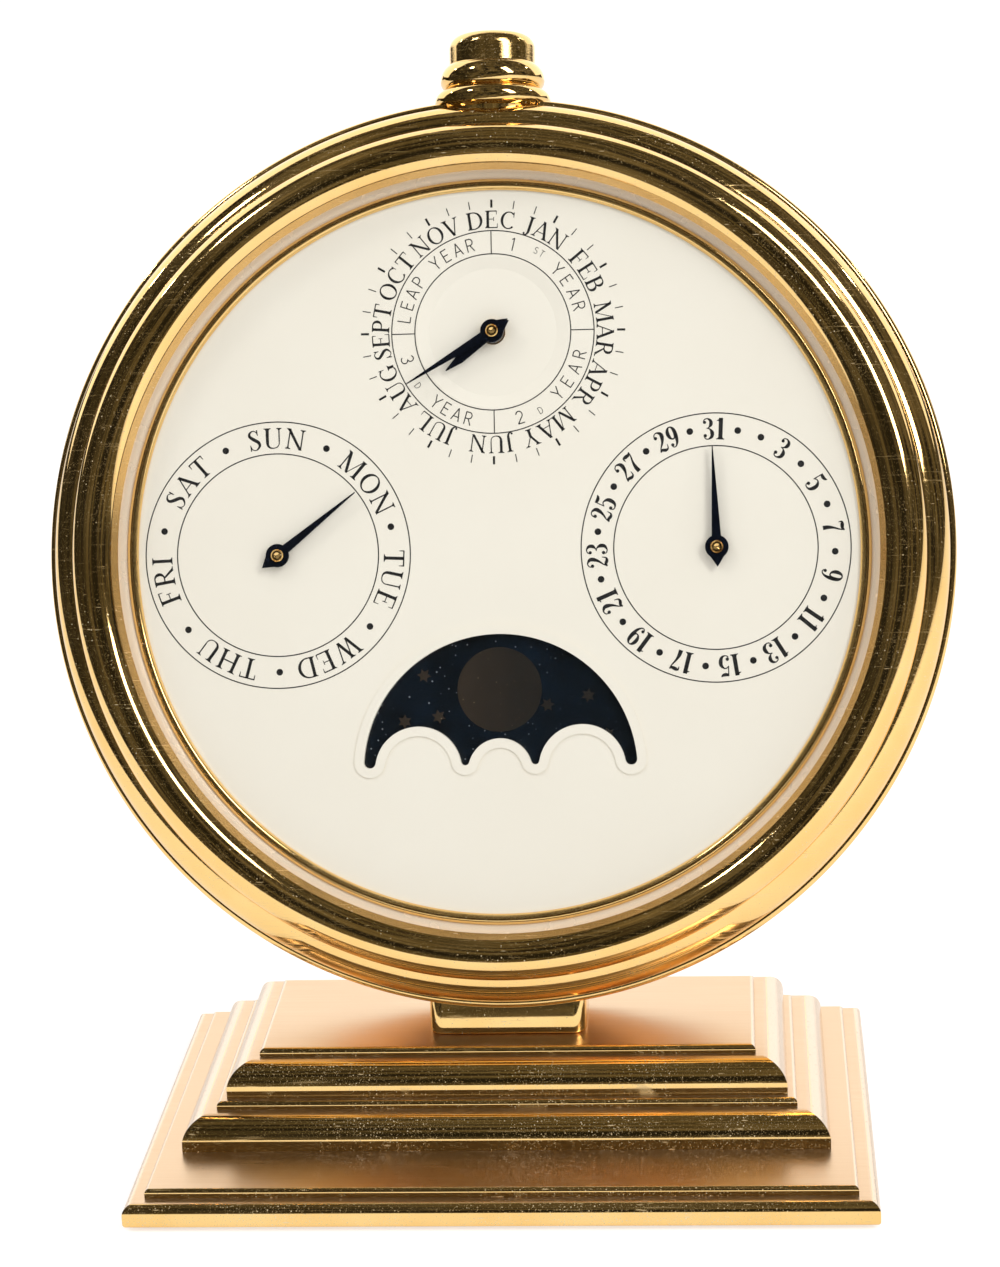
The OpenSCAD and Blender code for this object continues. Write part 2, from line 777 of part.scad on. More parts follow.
module reduction_wheel() {
    color("gold") case_frame() at(month_c + [train_x, 0]) {
        gear(24, wheel_pitch, 0.5, 0.8 + running, train_z, train_z + train_t);
        tube(0.8 + running, 2, train_z + train_t, upper_z);
        gear(12, pinion_pitch, 0, 0.8 + running, upper_z, upper_z + train_t);
    }
}

module reduction_stud() {
    color("silver") case_frame() at(month_c + [train_x, 0]) disc(0.8, plate_back, upper_z + train_t);
}

module leap_wheel() {
    color("gold") case_frame() at(month_c) {
        gear(24, wheel_pitch, 0.5, pivot_r + running, upper_z, upper_z + train_t);
        tube(pivot_r + running, pipe_r, upper_z - 0.1, dial_front + 1);
    }
}

// Cam of 48 months: long months stand high, February stands lowest
function month_drop(m) = m == 1 ? 3 : m == 3 || m == 5 || m == 8 || m == 10 ? 1 : 0;
function leap_drop(i) = i == 37 ? 2 : month_drop(i % 12);

module leap_cam() {
    color("gold") case_frame() at(month_c) difference() {
        slab(cam_z, cam_z + cam_t) polygon([for (i = [0 : 47]) each [
            polar(cam_r - cam_drop * leap_drop(i), -i * 7.5),
            polar(cam_r - cam_drop * leap_drop(i), -i * 7.5 - 7.4)]]);
        disc(pipe_r, cam_z - 1, cam_z + cam_t + 1);
    }
}

module leap_hand() {
    color("midnightblue") case_frame()
        hand(month_c, leap_angle, dial_front + 0.6, dial_front + 1, leap_hand_l, pipe_r, leap_hand_l * 0.7, hand_w * 0.9);
}

module moon_wheel() {
    color("gold") case_frame()
        star_wheel(moon_c, moon_n, moon_tip, moon_tip - 1.2, slide_back, slide_front);
}

moon_z = dial_back - 1.1;

module moon_arbor() {
    color("gold") case_frame() at(moon_c) {
        disc(shoulder_r, rear_front + 0.1, plate_back - 0.1);
        disc(pivot_r, rear_back, moon_z + 0.6);
        disc(2.5, moon_z + 0.6, dial_back - 0.25);
    }
}

module moon_disc() {
    color("navy") case_frame() at(moon_c) tube(pivot_r, moon_disc_r, moon_z, moon_z + 0.6);
}

// Rocking lever between the date snail and the month star
module month_lever() {
    snail_tip = date_c + polar(snail_high + 2.1, 108.3);
    star_tip = [month_tip + 2.2, sub_r];
    color("silver") case_frame() difference() {
        slab(star_back, star_front) {
            translate(lever_c) circle(2.6);
            bar(lever_c, snail_tip, 1.6, 1.2);
            bar(lever_c, star_tip, 1.6, 1.2);
        }
        at(lever_c) disc(1.2 + running, star_back - 1, star_front + 1);
    }
}

// Tapering bar between two round ends
module bar(p, q, r0, r1) {
    d = q - p;
    n = [-d[1], d[0]] / norm(d);
    translate(p) circle(r0);
    translate(q) circle(r1);
    polygon([p + n * r0, p - n * r0, q - n * r1, q + n * r1]);
}

module lever_stud() {
    color("silver") case_frame() at(lever_c) {
        disc(guide_head - 0.2, star_back - 0.75, star_back - 0.05);
        disc(1.2, star_back - 0.05, star_front + 0.05);
        disc(guide_head - 0.2, star_front + 0.05, plate_back);
        disc(screw_r, plate_back, plate_front - 0.8);
    }
}

// Slide with a bar down the middle, a cross arm and three fingers for the wheels
module operating_slide() {
    arm_low = date_tip + travel + 0.5;
    left = -sub_r + day_tip + 0.5;
    right = sub_r + date_tip + 0.2;
    moon_x = moon_tip + 1;
    color("silver") case_frame() difference() {
        slab(slide_back, slide_front) {
            translate([-slide_w / 2, guide_y[0] - 8]) square([slide_w, bar_top - guide_y[0] + 8]);
            translate([left, arm_low]) square([right + 3.5 - left, arm_w]);
            translate([left, 3]) square([3.3, arm_low - 2]);
            translate([right, 2]) square([3.5, arm_low - 1]);
            translate([moon_x, moon_c[1] + 3.8]) square([finger_w, arm_low + 1 - moon_c[1] - 3.8]);
        }
        for (y = guide_y) slab(slide_back - 1, slide_front + 1) slot(y, guide_r + running);
        slab(slide_back - 1, slide_front + 1) slot(sub_r, shoulder_r + 0.3);
    }
}

module slot(y, half) {
    translate([0, y]) circle(half);
    translate([0, y + travel]) circle(half);
    translate([-half, y]) square([2 * half, travel]);
}

module guide_screws() {
    color("silver") case_frame() for (y = guide_y) at([0, y]) {
        disc(guide_head, slide_back - 0.35, slide_back - 0.05);
        disc(guide_r, slide_back - 0.05, slide_front + 0.05);
        disc(guide_head, slide_front + 0.05, plate_back);
        disc(screw_r, plate_back, plate_front - 0.8);
    }
}

// Jumper: screwed foot, thin blade and a nose just clear of the wheel's tips
jumper_x = 2.4;

module jumper(c, tip, aim, side, z0, z1) {
    at(c) rotate([0, 0, aim]) mirror([0, side < 0 ? 1 : 0, 0]) difference() {
        union() {
            slab(z0, z1) {
                polygon([[tip + 0.2, 0], [tip + 1.6, -1.1], [tip + jumper_x, -1.1],
                    [tip + jumper_x, 1.1], [tip + 1.6, 1.1]]);
                translate([tip + jumper_x - 0.8, 0]) square([0.8, jumper_l]);
            }
            at([tip + jumper_x, jumper_l]) disc(jumper_foot_r, z0, plate_back);
        }
        at([tip + jumper_x, jumper_l]) disc(screw_r + 0.06, z0 - 1, plate_back + 1);
    }
}

function jumper_foot(c, tip, aim, side) = c
    + [(tip + jumper_x) * cos(aim) - side * jumper_l * sin(aim),
       (tip + jumper_x) * sin(aim) + side * jumper_l * cos(aim)];

jumper_feet = [jumper_foot(day_c, day_tip, 180, 1), jumper_foot(date_c, date_tip, -90, 1),
    jumper_foot(moon_c, moon_tip, 180, 1), jumper_foot(month_c, month_tip, 180, -1)];
jumper_backs = [slide_back, slide_back, slide_back, star_back];

module jumper_springs() {
    color("silver") case_frame() {
        jumper(day_c, day_tip, 180, 1, slide_back, slide_front);
        jumper(date_c, date_tip, -90, 1, slide_back, slide_front);
        jumper(moon_c, moon_tip, 180, 1, slide_back, slide_front);
        jumper(month_c, month_tip, 180, -1, star_back, star_front);
    }
}

module jumper_screws() {
    color("silver") case_frame() for (i = [0 : 3]) at(jumper_feet[i]) {
        disc(screw_r * 1.9, jumper_backs[i] - screw_head, jumper_backs[i]);
        disc(screw_r, jumper_backs[i], plate_front - 0.8);
    }
}

module pusher_button() {
    color("gold") case_frame() along_pusher() rotate_extrude() difference() {
        union() {
            band(0, button_r, button_y, button_top - button_round);
            band(0, button_r - button_round, button_top - button_round - 1, button_top);
            intersection() {
                translate([button_r - button_round, button_top - button_round]) circle(button_round);
                band(0, button_r, button_top - button_round, button_top);
            }
        }
        band(-1, chamber_r - 0.3, button_y - 1, roof_y);
        band(-1, stem_r, roof_y - 1, roof_y + 1);
    }
}

module pusher_stem() {
    color("silver") case_frame() along_pusher() disc(stem_r, bar_top, roof_y + 1);
}

module stem_clip() {
    color("silver") case_frame() along_pusher() tube(stem_r, stem_r + 1.1, clip_y - 1, clip_y);
}

module pusher_spring() {
    sides = 8;
    rings = turns * spring_n;
    color("silver") case_frame() along_pusher() translate([0, 0, floor_y + wire_r]) polyhedron(
        points = [for (i = [0 : rings]) for (k = [0 : sides - 1])
            [(spring_r + wire_r * cos(k * 45)) * cos(i * 360 / spring_n),
             (spring_r + wire_r * cos(k * 45)) * sin(i * 360 / spring_n),
             spring_l * i / rings + wire_r * sin(k * 45)]],
        faces = concat([[for (k = [0 : sides - 1]) k]],
            [for (i = [0 : rings - 1]) for (k = [0 : sides - 1])
                [i * sides + k, (i + 1) * sides + k, (i + 1) * sides + (k + 1) % sides, i * sides + (k + 1) % sides]],
            [[for (k = [sides - 1 : -1 : 0]) rings * sides + k]]));
}

module pusher_collar() {
    swell = collar_r - 2;
    color("gold") case_frame() along_pusher() rotate_extrude() difference() {
        union() {
            band(0, button_r + 0.4, neck_y, collar_y);
            intersection() {
                translate([swell, neck_y + 1.7]) circle(2);
                band(0, case_r, neck_y, collar_y);
            }
            intersection() {
                translate([swell - 1, neck_y + 1.2]) circle(collar_y - neck_y - 1.2);
                band(0, collar_r, neck_y + 1.7, collar_y);
            }
        }
        band(-1, chamber_r, neck_y - 1, collar_y + 1);
        band(-1, button_r + running + 0.03, bore_y, collar_y + 1);
    }
}

// Base of the pusher, fitted over the drum and the bezel's outer moulding
module pusher_base() {
    color("gold") case_frame() difference() {
        along_pusher() rotate_extrude() {
            band(0, base_r, case_r - 14, neck_y - 2);
            intersection() {
                translate([base_r - 2, neck_y - 2]) circle(2);
                band(0, base_r, neck_y - 2.1, neck_y);
            }
            band(0, base_r - 2, neck_y - 2.1, neck_y);
        }
        rotate_extrude($fn = 360) {
            band(0, case_r - drum_round, -40, drum_front);
            band(0, case_r, -40, drum_front - drum_round);
            translate([case_r - drum_round, drum_front - drum_round]) circle(drum_round);
            band(0, case_r - drum_round, drum_front - 1, roll_z);
            band(0, seat_r, 0, 20);
            bezel_section();
        }
        along_pusher() disc(chamber_r, floor_y, neck_y + 1);
        along_pusher() disc(stem_r + running, drum_in - 8, neck_y + 1);
    }
    color("gold") case_frame() along_pusher() difference() {
        disc(boss_r, drum_in - 2.2, floor_y - 0.2);
        disc(stem_r + running, drum_in - 8, neck_y + 1);
    }
}

module rear_cover() {
    panel_r = rebate_r - 6.2;
    color("gold") case_frame() difference() {
        union() {
            disc(rebate_r - 0.1, drum_back, cover_front);
            translate([0, 0, drum_back - cover_out])
                cylinder(r1 = panel_r - 2.5, r2 = panel_r, h = cover_out);
        }
        disc(panel_r - 4, drum_back - cover_out + 1.2, cover_front + 1);
        around(4, cover_screw_ring, 45) disc(screw_r + 0.06, drum_back - 1, cover_front + 1);
    }
}

module rear_cover_screws() {
    color("silver") case_frame() around(4, cover_screw_ring, 45) difference() {
        union() {
            disc(screw_r * 1.9, drum_back - screw_head, drum_back);
            disc(screw_r, drum_back, cover_front + ledge_t - 0.5);
        }
        translate([-3, -0.25, drum_back - screw_head - 1]) cube([6, 0.5, 1.4]);
    }
}

plinth();
base_pad();
neck_block();
case_screws();
case_drum();
bezel();
bezel_screws();
crystal();
inner_ring();
dial();
dial_feet();
spacer_ring();
main_plate();
plate_screws();
rear_plate();
plate_pillars();
pillar_screws();
day_star();
day_arbor();
day_hand();
date_wheel();
date_snail();
date_arbor();
date_hand();
month_star();
month_pinion();
month_arbor();
month_hand();
reduction_wheel();
reduction_stud();
leap_wheel();
leap_cam();
leap_hand();
moon_wheel();
moon_arbor();
moon_disc();
month_lever();
lever_stud();
operating_slide();
guide_screws();
jumper_springs();
jumper_screws();
pusher_button();
pusher_stem();
stem_clip();
pusher_spring();
pusher_collar();
pusher_base();
rear_cover();
rear_cover_screws();
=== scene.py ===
# %% [markdown]
# # A perpetual desk calendar in gilt brass
# The real object is a heavy mirror-polished case on a stepped foot, with a cream dial behind
# glass. The imported solids are the frame: they have every size and every moving part, so this
# lesson adds what the solids can't carry, which is finish, printing and light.

# %% Load the solids
from functools import reduce
from math import cos, degrees, pi, radians, sin

import bmesh
import bpy
from mathutils import Matrix, Vector


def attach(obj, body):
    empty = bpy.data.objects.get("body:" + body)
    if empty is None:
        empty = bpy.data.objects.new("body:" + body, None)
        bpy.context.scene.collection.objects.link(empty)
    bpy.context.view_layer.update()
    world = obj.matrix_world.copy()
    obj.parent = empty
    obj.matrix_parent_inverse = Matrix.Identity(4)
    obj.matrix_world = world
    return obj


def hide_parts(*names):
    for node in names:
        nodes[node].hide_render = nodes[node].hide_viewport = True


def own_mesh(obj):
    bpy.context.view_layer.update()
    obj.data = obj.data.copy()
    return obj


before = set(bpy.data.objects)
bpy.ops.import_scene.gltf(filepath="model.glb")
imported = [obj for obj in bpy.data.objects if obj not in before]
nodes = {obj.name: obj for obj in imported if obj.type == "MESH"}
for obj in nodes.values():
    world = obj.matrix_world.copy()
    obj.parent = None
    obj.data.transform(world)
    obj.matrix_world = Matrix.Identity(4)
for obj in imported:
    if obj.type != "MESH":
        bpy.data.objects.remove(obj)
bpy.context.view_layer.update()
mm = 0.001

# %% [markdown]
# Everything on the case is drawn about its axis, which leans back by 17.24 degrees. One matrix
# carries a flat drawing of the dial (x right, y up, z towards the viewer) to its leaning place,
# and its inverse lets a finish measure on the case.

# %% The leaning case
case_lean = radians(90 - 17.24)
case_centre = Vector((0, 18.0116, 97.1995)) * mm
case_place = Matrix.Translation(case_centre) @ Matrix.Rotation(case_lean, 4, "X")
case_inverse = case_place.inverted()
dial_top = 5.0
hub_r = 36.8
day_hub, date_hub, month_hub, moon_hub = (-hub_r, 0), (hub_r, 0), (0, hub_r), (0, -hub_r)
print("case axis points to", [round(v, 4) for v in case_place.to_3x3() @ Vector((0, 0, 1))])

# %% [markdown]
# A finish is a small network of shader nodes. Writing it as arithmetic keeps it readable, so
# one class wraps a socket and turns + - * < > into Math nodes, and one method adds any other
# node: its kind, its settings first, then what goes into its sockets.


# %% Shader arithmetic
class Wire:
    def __init__(self, finish, socket):
        self.finish, self.socket = finish, socket

    def maths(self, operation, *values, clamp=False):
        settings = {"operation": operation, "use_clamp": clamp}
        return self.finish.node("Math", settings, dict(enumerate(values)))

    def __add__(self, other): return self.maths("ADD", self, other)
    def __radd__(self, other): return self.maths("ADD", other, self)
    def __sub__(self, other): return self.maths("SUBTRACT", self, other)
    def __rsub__(self, other): return self.maths("SUBTRACT", other, self)
    def __mul__(self, other): return self.maths("MULTIPLY", self, other)
    def __rmul__(self, other): return self.maths("MULTIPLY", other, self)
    def __gt__(self, other): return self.maths("GREATER_THAN", self, other)
    def __lt__(self, other): return self.maths("LESS_THAN", self, other)
    def clamp(self): return self.maths("ADD", self, 0.0, clamp=True)
    def highest(self, other): return self.maths("MAXIMUM", self, other)


class Network:
    def __init__(self, tree):
        self.tree = tree

    def feed(self, socket, value):
        if isinstance(value, Wire):
            self.tree.links.new(value.socket, socket)
        else:
            socket.default_value = value

    def node(self, kind, settings=None, sockets=None, out=0):
        made = self.tree.nodes.new("ShaderNode" + kind)
        for name, value in (settings or {}).items():
            setattr(made, name, value)
        for name, value in (sockets or {}).items():
            self.feed(made.inputs[name], value)
        return Wire(self, made.outputs[out])

    def parts(self, vector):
        split = self.node("SeparateXYZ", sockets={0: vector}).socket.node
        return [Wire(self, s) for s in split.outputs]

    def world_mm(self, **move):
        where = self.node("TexCoord", out="Object")
        return self.node("Mapping", sockets={
            "Vector": where, "Scale": (1000, 1000, 1000), **move})

    def case_mm(self):
        return self.world_mm(Rotation=(-case_lean, 0, 0),
                             Location=case_inverse.translation * 1000)

    def stretch(self, vector, scale, turn=0.0):
        return self.node("Mapping", sockets={
            "Vector": vector, "Scale": scale, "Rotation": (0, 0, radians(turn))})

    def noise(self, vector, scale, detail=2.0, rough=0.5):
        return self.node("TexNoise", {}, {
            "Vector": vector, "Scale": scale, "Detail": detail, "Roughness": rough})

    def ramp(self, value, low, high):
        """0 at low, 1 at high, straight between them."""
        return self.node("MapRange", {"clamp": True}, {
            "Value": value, "From Min": low, "From Max": high})

    def mix(self, factor, first, second):
        return self.node("Mix", {"data_type": "RGBA"}, {
            "Factor": factor, 6: first, 7: second}, out=2)

    def specks(self, vector, scale, share, size):
        """1 on scattered round specks: a share of the cells of a Voronoi pattern."""
        near = self.node("TexVoronoi", {}, {"Vector": vector, "Scale": scale})
        draw = Wire(self, near.socket.node.outputs["Color"])
        luck = self.parts(draw)[0]
        return self.ramp(near, size, size * 0.45) * (luck < share)


class Finish(Network):
    def __init__(self, name, constants):
        self.material = bpy.data.materials.new(name)
        self.material.use_nodes = True
        super().__init__(self.material.node_tree)
        self.shader = self.tree.nodes["Principled BSDF"]
        for socket, value in constants.items():
            self.shader.inputs[socket].default_value = value

    def paint(self, socket, value):
        self.feed(self.shader.inputs[socket], value)

    def painted(self, socket):
        return Wire(self, self.shader.inputs[socket].links[0].from_socket)

    def dye(self, factor, first, second):
        """The base colour: first where factor is 0, second where it is 1."""
        self.paint("Base Color", self.mix(factor, first, second))

    def bump(self, height, strength, distance, **normal):
        self.paint("Normal", self.node("Bump", {}, {
            "Height": height, "Strength": strength, "Distance": distance, **normal}))


print("shader helpers ready")

# %% [markdown]
# Gilt brass is a metal that reflects red well, green less and blue least, so the colour is
# set once as the tint of the reflection. What makes it look old and handled is small: hair
# scratches, a grain of dust that catches the light over dark reflections, and a soft change
# in polish. The scratches are noise drawn out long and thin in three directions; the dust is
# finer noise cut off high, with a few larger grains and short fibres between.

# %% Gilt brass
GILT = (0.96, 0.65, 0.265, 1)
DUST = (0.80, 0.68, 0.48, 1)


def scratch(finish, where, turn, length):
    lines = finish.noise(finish.stretch(where, (length, 4.5, length), turn), 1.0, 3.0, 0.6)
    return finish.ramp(lines, 0.655, 0.73)


def hair(finish, where, turn, share):
    """Short fibres that have settled on the metal."""
    return finish.specks(finish.stretch(where, (0.28, 2.2, 1.0), turn), 1.0, share, 0.21)


def dress_gilt(finish, where, tint=GILT, polish=0.05, dust=1.0):
    cloud = finish.noise(where, 0.09, 3.0)
    smear = finish.noise(where, 0.6, 4.0, 0.6)
    patches = 0.3 + finish.ramp(finish.noise(where, 0.07, 2.0), 0.38, 0.62) * 0.7
    grain = finish.ramp(finish.noise(where, 3.6, 3.0, 0.7), 0.57, 0.74) * patches * (0.30 * dust)
    grains = finish.specks(where, 1.8, 0.12 * dust, 0.25) * patches
    lines = reduce(Wire.highest, [scratch(finish, where, turn, length) for turn, length in (
        (12, 0.06), (63, 0.10), (127, 0.08))])
    fibres = reduce(Wire.highest, [hair(finish, where, turn, 0.03 * dust) for turn in (
        5, 52, 118)]) * patches
    dusty = grain.highest(grains * 0.8).highest(lines * 0.2).highest(fibres * 0.55).clamp()
    tone = finish.mix(finish.ramp(cloud, 0.35, 0.65), tint,
                      (tint[0] * 0.97, tint[1] * 0.93, tint[2] * 0.84, 1))
    finish.dye(dusty, tone, DUST)
    finish.paint("Metallic", 1 - dusty * 0.9)
    finish.paint("Roughness", polish + smear * 0.03 + lines * 0.12 + dusty * 0.3)
    finish.bump(smear * 0.4 + lines * 0.5 + grains, 0.05, 0.00005)


gilt = Finish("polished_gilt_brass", {"Metallic": 1.0})
dress_gilt(gilt, gilt.case_mm(), dust=1.4)
print("gilt brass:", len(gilt.tree.nodes), "nodes")

# %% [markdown]
# The pusher was left with the fine rings of the lathe. They lie across its axis, so they
# draw each highlight out along it.

# %% Gilt brass from the lathe
turned_gilt = Finish("turned_gilt_brass", {"Metallic": 1.0})
where = turned_gilt.case_mm()
dress_gilt(turned_gilt, where, polish=0.06, dust=1.6)
rings = turned_gilt.noise(turned_gilt.stretch(where, (0.15, 9.0, 0.15)), 1.0, 3.0, 0.7)
turned_gilt.bump(rings, 0.35, 0.00005)
print("turned brass:", len(turned_gilt.tree.nodes), "nodes")

# %% [markdown]
# The chamfer under the glass gets a deeper, more orange gold than the case and a softer polish.

# %% Deep gilt
deep_gilt = Finish("deep_gilt_brass", {"Metallic": 1.0})
dress_gilt(deep_gilt, deep_gilt.case_mm(), tint=(0.84, 0.52, 0.20, 1), polish=0.17, dust=0.6)
print("deep gilt:", len(deep_gilt.tree.nodes), "nodes")

# %% [markdown]
# The foot is polished on its mouldings and satin on its flat ledges, where it was brushed
# from side to side. One mask tells them apart: a ledge faces straight up. Brushing is noise
# stretched along x. The mouldings of both flanks are duller than the front, with small brown
# spots, and their paler tint is a painted reflection of the bright white wall.

# %% Foot: polished mouldings and brushed ledges
foot_gilt = Finish("foot_gilt_brass", {"Metallic": 1.0})
where = foot_gilt.world_mm()
dress_gilt(foot_gilt, where, dust=2.9)
facing = foot_gilt.parts(foot_gilt.node("NewGeometry", out="Normal"))
ledge = facing[2] > 0.97
flank = foot_gilt.ramp(facing[0].maths("ABSOLUTE", facing[0]), 0.12, 0.35)
brush = foot_gilt.noise(foot_gilt.stretch(where, (0.035, 3.4, 1.0)), 1.0, 4.0, 0.62)
worn = foot_gilt.noise(where, 0.12, 3.0)
colour, polished, relief = map(foot_gilt.painted, ("Base Color", "Roughness", "Normal"))
satin = 0.20 + brush * 0.16 + worn * 0.06
pale = foot_gilt.mix(foot_gilt.ramp(brush, 0.3, 0.7),
                     (0.80, 0.585, 0.395, 1), (0.76, 0.54, 0.35, 1))
spots = foot_gilt.specks(where, 1.1, 0.20, 0.22) * flank
colour = foot_gilt.mix(ledge * 0.9, colour, pale)
# painted reflection: flanks are tinted paler where they face sideways, towards the bright wall
colour = foot_gilt.mix(flank * 0.85, colour, (0.82, 0.66, 0.53, 1))
foot_gilt.dye(spots * 0.5, colour, (0.42, 0.26, 0.12, 1))
foot_gilt.paint("Roughness", polished * (1 - ledge) + satin * ledge + flank * 0.14)
foot_gilt.bump(brush * ledge, 0.22, 0.00008, Normal=relief)
print("foot brass:", len(foot_gilt.tree.nodes), "nodes")

# %% [markdown]
# The cove between glass and dial is paler than the case and has a soft sheen, so that it
# lights the edge of the dial instead of mirroring it.

# %% Pale satin
pale_satin = Finish("pale_satin_gilt", {"Metallic": 0.25})
where = pale_satin.case_mm()
sheen = pale_satin.noise(where, 0.12, 3.0)
pale_satin.dye(sheen, (1.0, 0.85, 0.67, 1), (0.98, 0.82, 0.63, 1))
pale_satin.paint("Roughness", 0.22 + sheen * 0.10)
pale_satin.bump(sheen, 0.02, 0.00002)
print("pale satin:", len(pale_satin.tree.nodes), "nodes")

# %% [markdown]
# The movement is plainer: fine-grained brass plates with a straight grain, steel for springs
# and screws, and steel blued by heat for the hands. Blued steel is nearly black until it
# mirrors something bright.

# %% Movement brass, steel and blued steel
movement_brass = Finish("movement_brass", {"Metallic": 1.0})
where = movement_brass.case_mm()
grain = movement_brass.noise(movement_brass.stretch(where, (0.2, 5.0, 1.0), 35), 1.0, 3.0)
cloud = movement_brass.ramp(movement_brass.noise(where, 0.2), 0.35, 0.65)
movement_brass.dye(cloud, (0.80, 0.56, 0.24, 1), (0.70, 0.47, 0.18, 1))
movement_brass.paint("Roughness", 0.22 + grain * 0.16)
movement_brass.bump(grain, 0.12, 0.00005)

steel = Finish("polished_steel", {"Metallic": 1.0})
where = steel.case_mm()
grain = steel.noise(steel.stretch(where, (0.4, 6.0, 1.0), 80), 1.0, 3.0)
cloud = steel.ramp(steel.noise(where, 0.4), 0.3, 0.7)
steel.dye(cloud, (0.60, 0.60, 0.61, 1), (0.50, 0.51, 0.53, 1))
steel.paint("Roughness", 0.18 + grain * 0.14)
steel.bump(grain, 0.10, 0.00004)

blued_steel = Finish("blued_steel", {"Metallic": 0.85, "Coat Weight": 0.3})
where = blued_steel.case_mm()
mottle = blued_steel.noise(where, 0.9, 4.0, 0.6)
lint = blued_steel.specks(where, 1.4, 0.10, 0.13)
blue = blued_steel.mix(mottle, (0.010, 0.013, 0.024, 1), (0.018, 0.030, 0.070, 1))
blued_steel.dye(lint, blue, (0.45, 0.43, 0.40, 1))
blued_steel.paint("Roughness", 0.16 + mottle * 0.10 + lint * 0.5)
blued_steel.bump(mottle, 0.05, 0.00003)
print("movement finishes ready")

# %% [markdown]
# The dial is lacquered metal in warm cream, with a faint unevenness that only shows in raking
# light. Ink is a matt near-black that covers unevenly at this size. The moon disc is dark
# blue enamel; its moon and stars were gilt and have gone brown. Towards the left of the disc
# the moons and stars run browner and the specks denser; towards the right moons and stars are
# near black.

# %% Dial cream, ink, moon blue, dull gold
dial_cream = Finish("dial_cream", {"IOR": 1.45, "Coat Weight": 0.12, "Coat Roughness": 0.2})
where = dial_cream.case_mm()
bloom = dial_cream.noise(where, 0.05, 3.0)
grit = dial_cream.noise(where, 6.0, 2.0)
fleck = dial_cream.specks(where, 0.35, 0.04, 0.05)
cream = dial_cream.mix(dial_cream.ramp(bloom, 0.3, 0.7),
                       (0.900, 0.850, 0.738, 1), (0.885, 0.832, 0.718, 1))
dial_cream.dye(fleck * 0.12, cream, (0.55, 0.48, 0.36, 1))
dial_cream.paint("Roughness", 0.42 + grit * 0.12)
dial_cream.bump(grit, 0.03, 0.00003)

ink = Finish("dial_ink", {"IOR": 1.45})
where = ink.case_mm()
cover = ink.noise(where, 3.5, 3.0)
ink.dye(ink.ramp(cover, 0.35, 0.75), (0.007, 0.007, 0.008, 1), (0.022, 0.021, 0.021, 1))
ink.paint("Roughness", 0.35 + cover * 0.25)

moon_blue = Finish("moon_blue_enamel", {"IOR": 1.5, "Coat Weight": 0.2})
where = moon_blue.case_mm()
depth = moon_blue.noise(where, 0.16, 3.0)
# specks grow denser towards the left (-x)
side = moon_blue.ramp(moon_blue.parts(where)[0], 12.0, -16.0)
lint = (moon_blue.specks(where, 1.5, 0.24, 0.21) * (0.06 + side)).clamp()
blue = moon_blue.mix(moon_blue.ramp(depth, 0.35, 0.7),
                     (0.0020, 0.0048, 0.0085, 1), (0.0035, 0.0105, 0.0210, 1))
moon_blue.dye(lint * 0.8, blue, (0.42, 0.45, 0.48, 1))
moon_blue.paint("Roughness", 0.22 + lint * 0.5)

dull_gold = Finish("dull_gold_leaf", {"IOR": 1.5})
where = dull_gold.case_mm()
# brown towards the left (-x), near black towards the right
side = dull_gold.ramp(dull_gold.parts(where)[0], 3.5, -6.5)
wipe = dull_gold.noise(dull_gold.stretch(where, (3.0, 0.25, 1.0)), 1.0, 3.0)
tarnish = dull_gold.noise(where, 0.5, 4.0)
lint = (dull_gold.specks(where, 1.6, 0.28, 0.20) * (0.08 + side)).clamp()
brown = dull_gold.mix((side * 0.65 + tarnish * 0.3 + wipe * 0.2 - 0.1).clamp(),
                      (0.010, 0.008, 0.006, 1), (0.042, 0.027, 0.015, 1))
dull_gold.dye(lint * 0.55, brown, (0.50, 0.36, 0.20, 1))
dull_gold.paint("Metallic", 0.25 + tarnish * 0.2)
dull_gold.paint("Roughness", 0.42 + wipe * 0.2)
dull_gold.bump(wipe, 0.06, 0.00004)
print("dial finishes ready")

# %% [markdown]
# Felt is a matt mat of fibres. Glass is a clear refracting solid; the light that falls
# through it on the dial would need thousands of samples to find its way, so shadow and
# diffuse rays pass through it as if it weren't there.

# %% Felt and glass
felt = Finish("green_felt", {"IOR": 1.3})
where = felt.world_mm()
fibre = felt.noise(where, 2.6, 5.0, 0.75)
felt.dye(fibre, (0.010, 0.038, 0.020, 1), (0.030, 0.090, 0.045, 1))
felt.paint("Roughness", 0.85 + fibre * 0.1)
felt.bump(fibre, 0.6, 0.0002)

glass = Finish("clear_glass", {"Transmission Weight": 1.0, "IOR": 1.5,
                               "Base Color": (0.985, 0.99, 0.985, 1)})
film = glass.noise(glass.case_mm(), 0.3, 4.0)
glass.paint("Roughness", glass.ramp(film, 0.55, 0.9) * 0.02)
shadow_rays = glass.node("LightPath", out="Is Shadow Ray")
diffuse_rays = glass.node("LightPath", out="Is Diffuse Ray")
see_through = glass.node("MixShader", {}, {
    0: shadow_rays.highest(diffuse_rays), 1: Wire(glass, glass.shader.outputs[0]),
    2: glass.node("BsdfTransparent")})
glass.tree.links.new(see_through.socket, glass.tree.nodes["Material Output"].inputs["Surface"])
print("felt and glass ready")

# %% [markdown]
# Each solid keeps its own shape and gets the finish of its slot. The foot has its own
# version of the gilt, because only there are ledges brushed, and the arbors shine like the case.

# %% Dress the solids
by_slot = {"polished_brass": gilt, "movement_brass": movement_brass, "steel": steel,
           "blued_steel": blued_steel, "dial_cream": dial_cream, "moon_blue": moon_blue,
           "clear_glass": glass, "green_felt": felt}
for name, solid in nodes.items():
    for slot in solid.material_slots:
        slot.material = by_slot[slot.material.name].material
nodes["plinth"].material_slots[0].material = foot_gilt.material
for name in ("day_arbor", "date_arbor", "month_arbor"):
    nodes[name].material_slots[0].material = gilt.material
print("dressed", len(nodes), "solids")

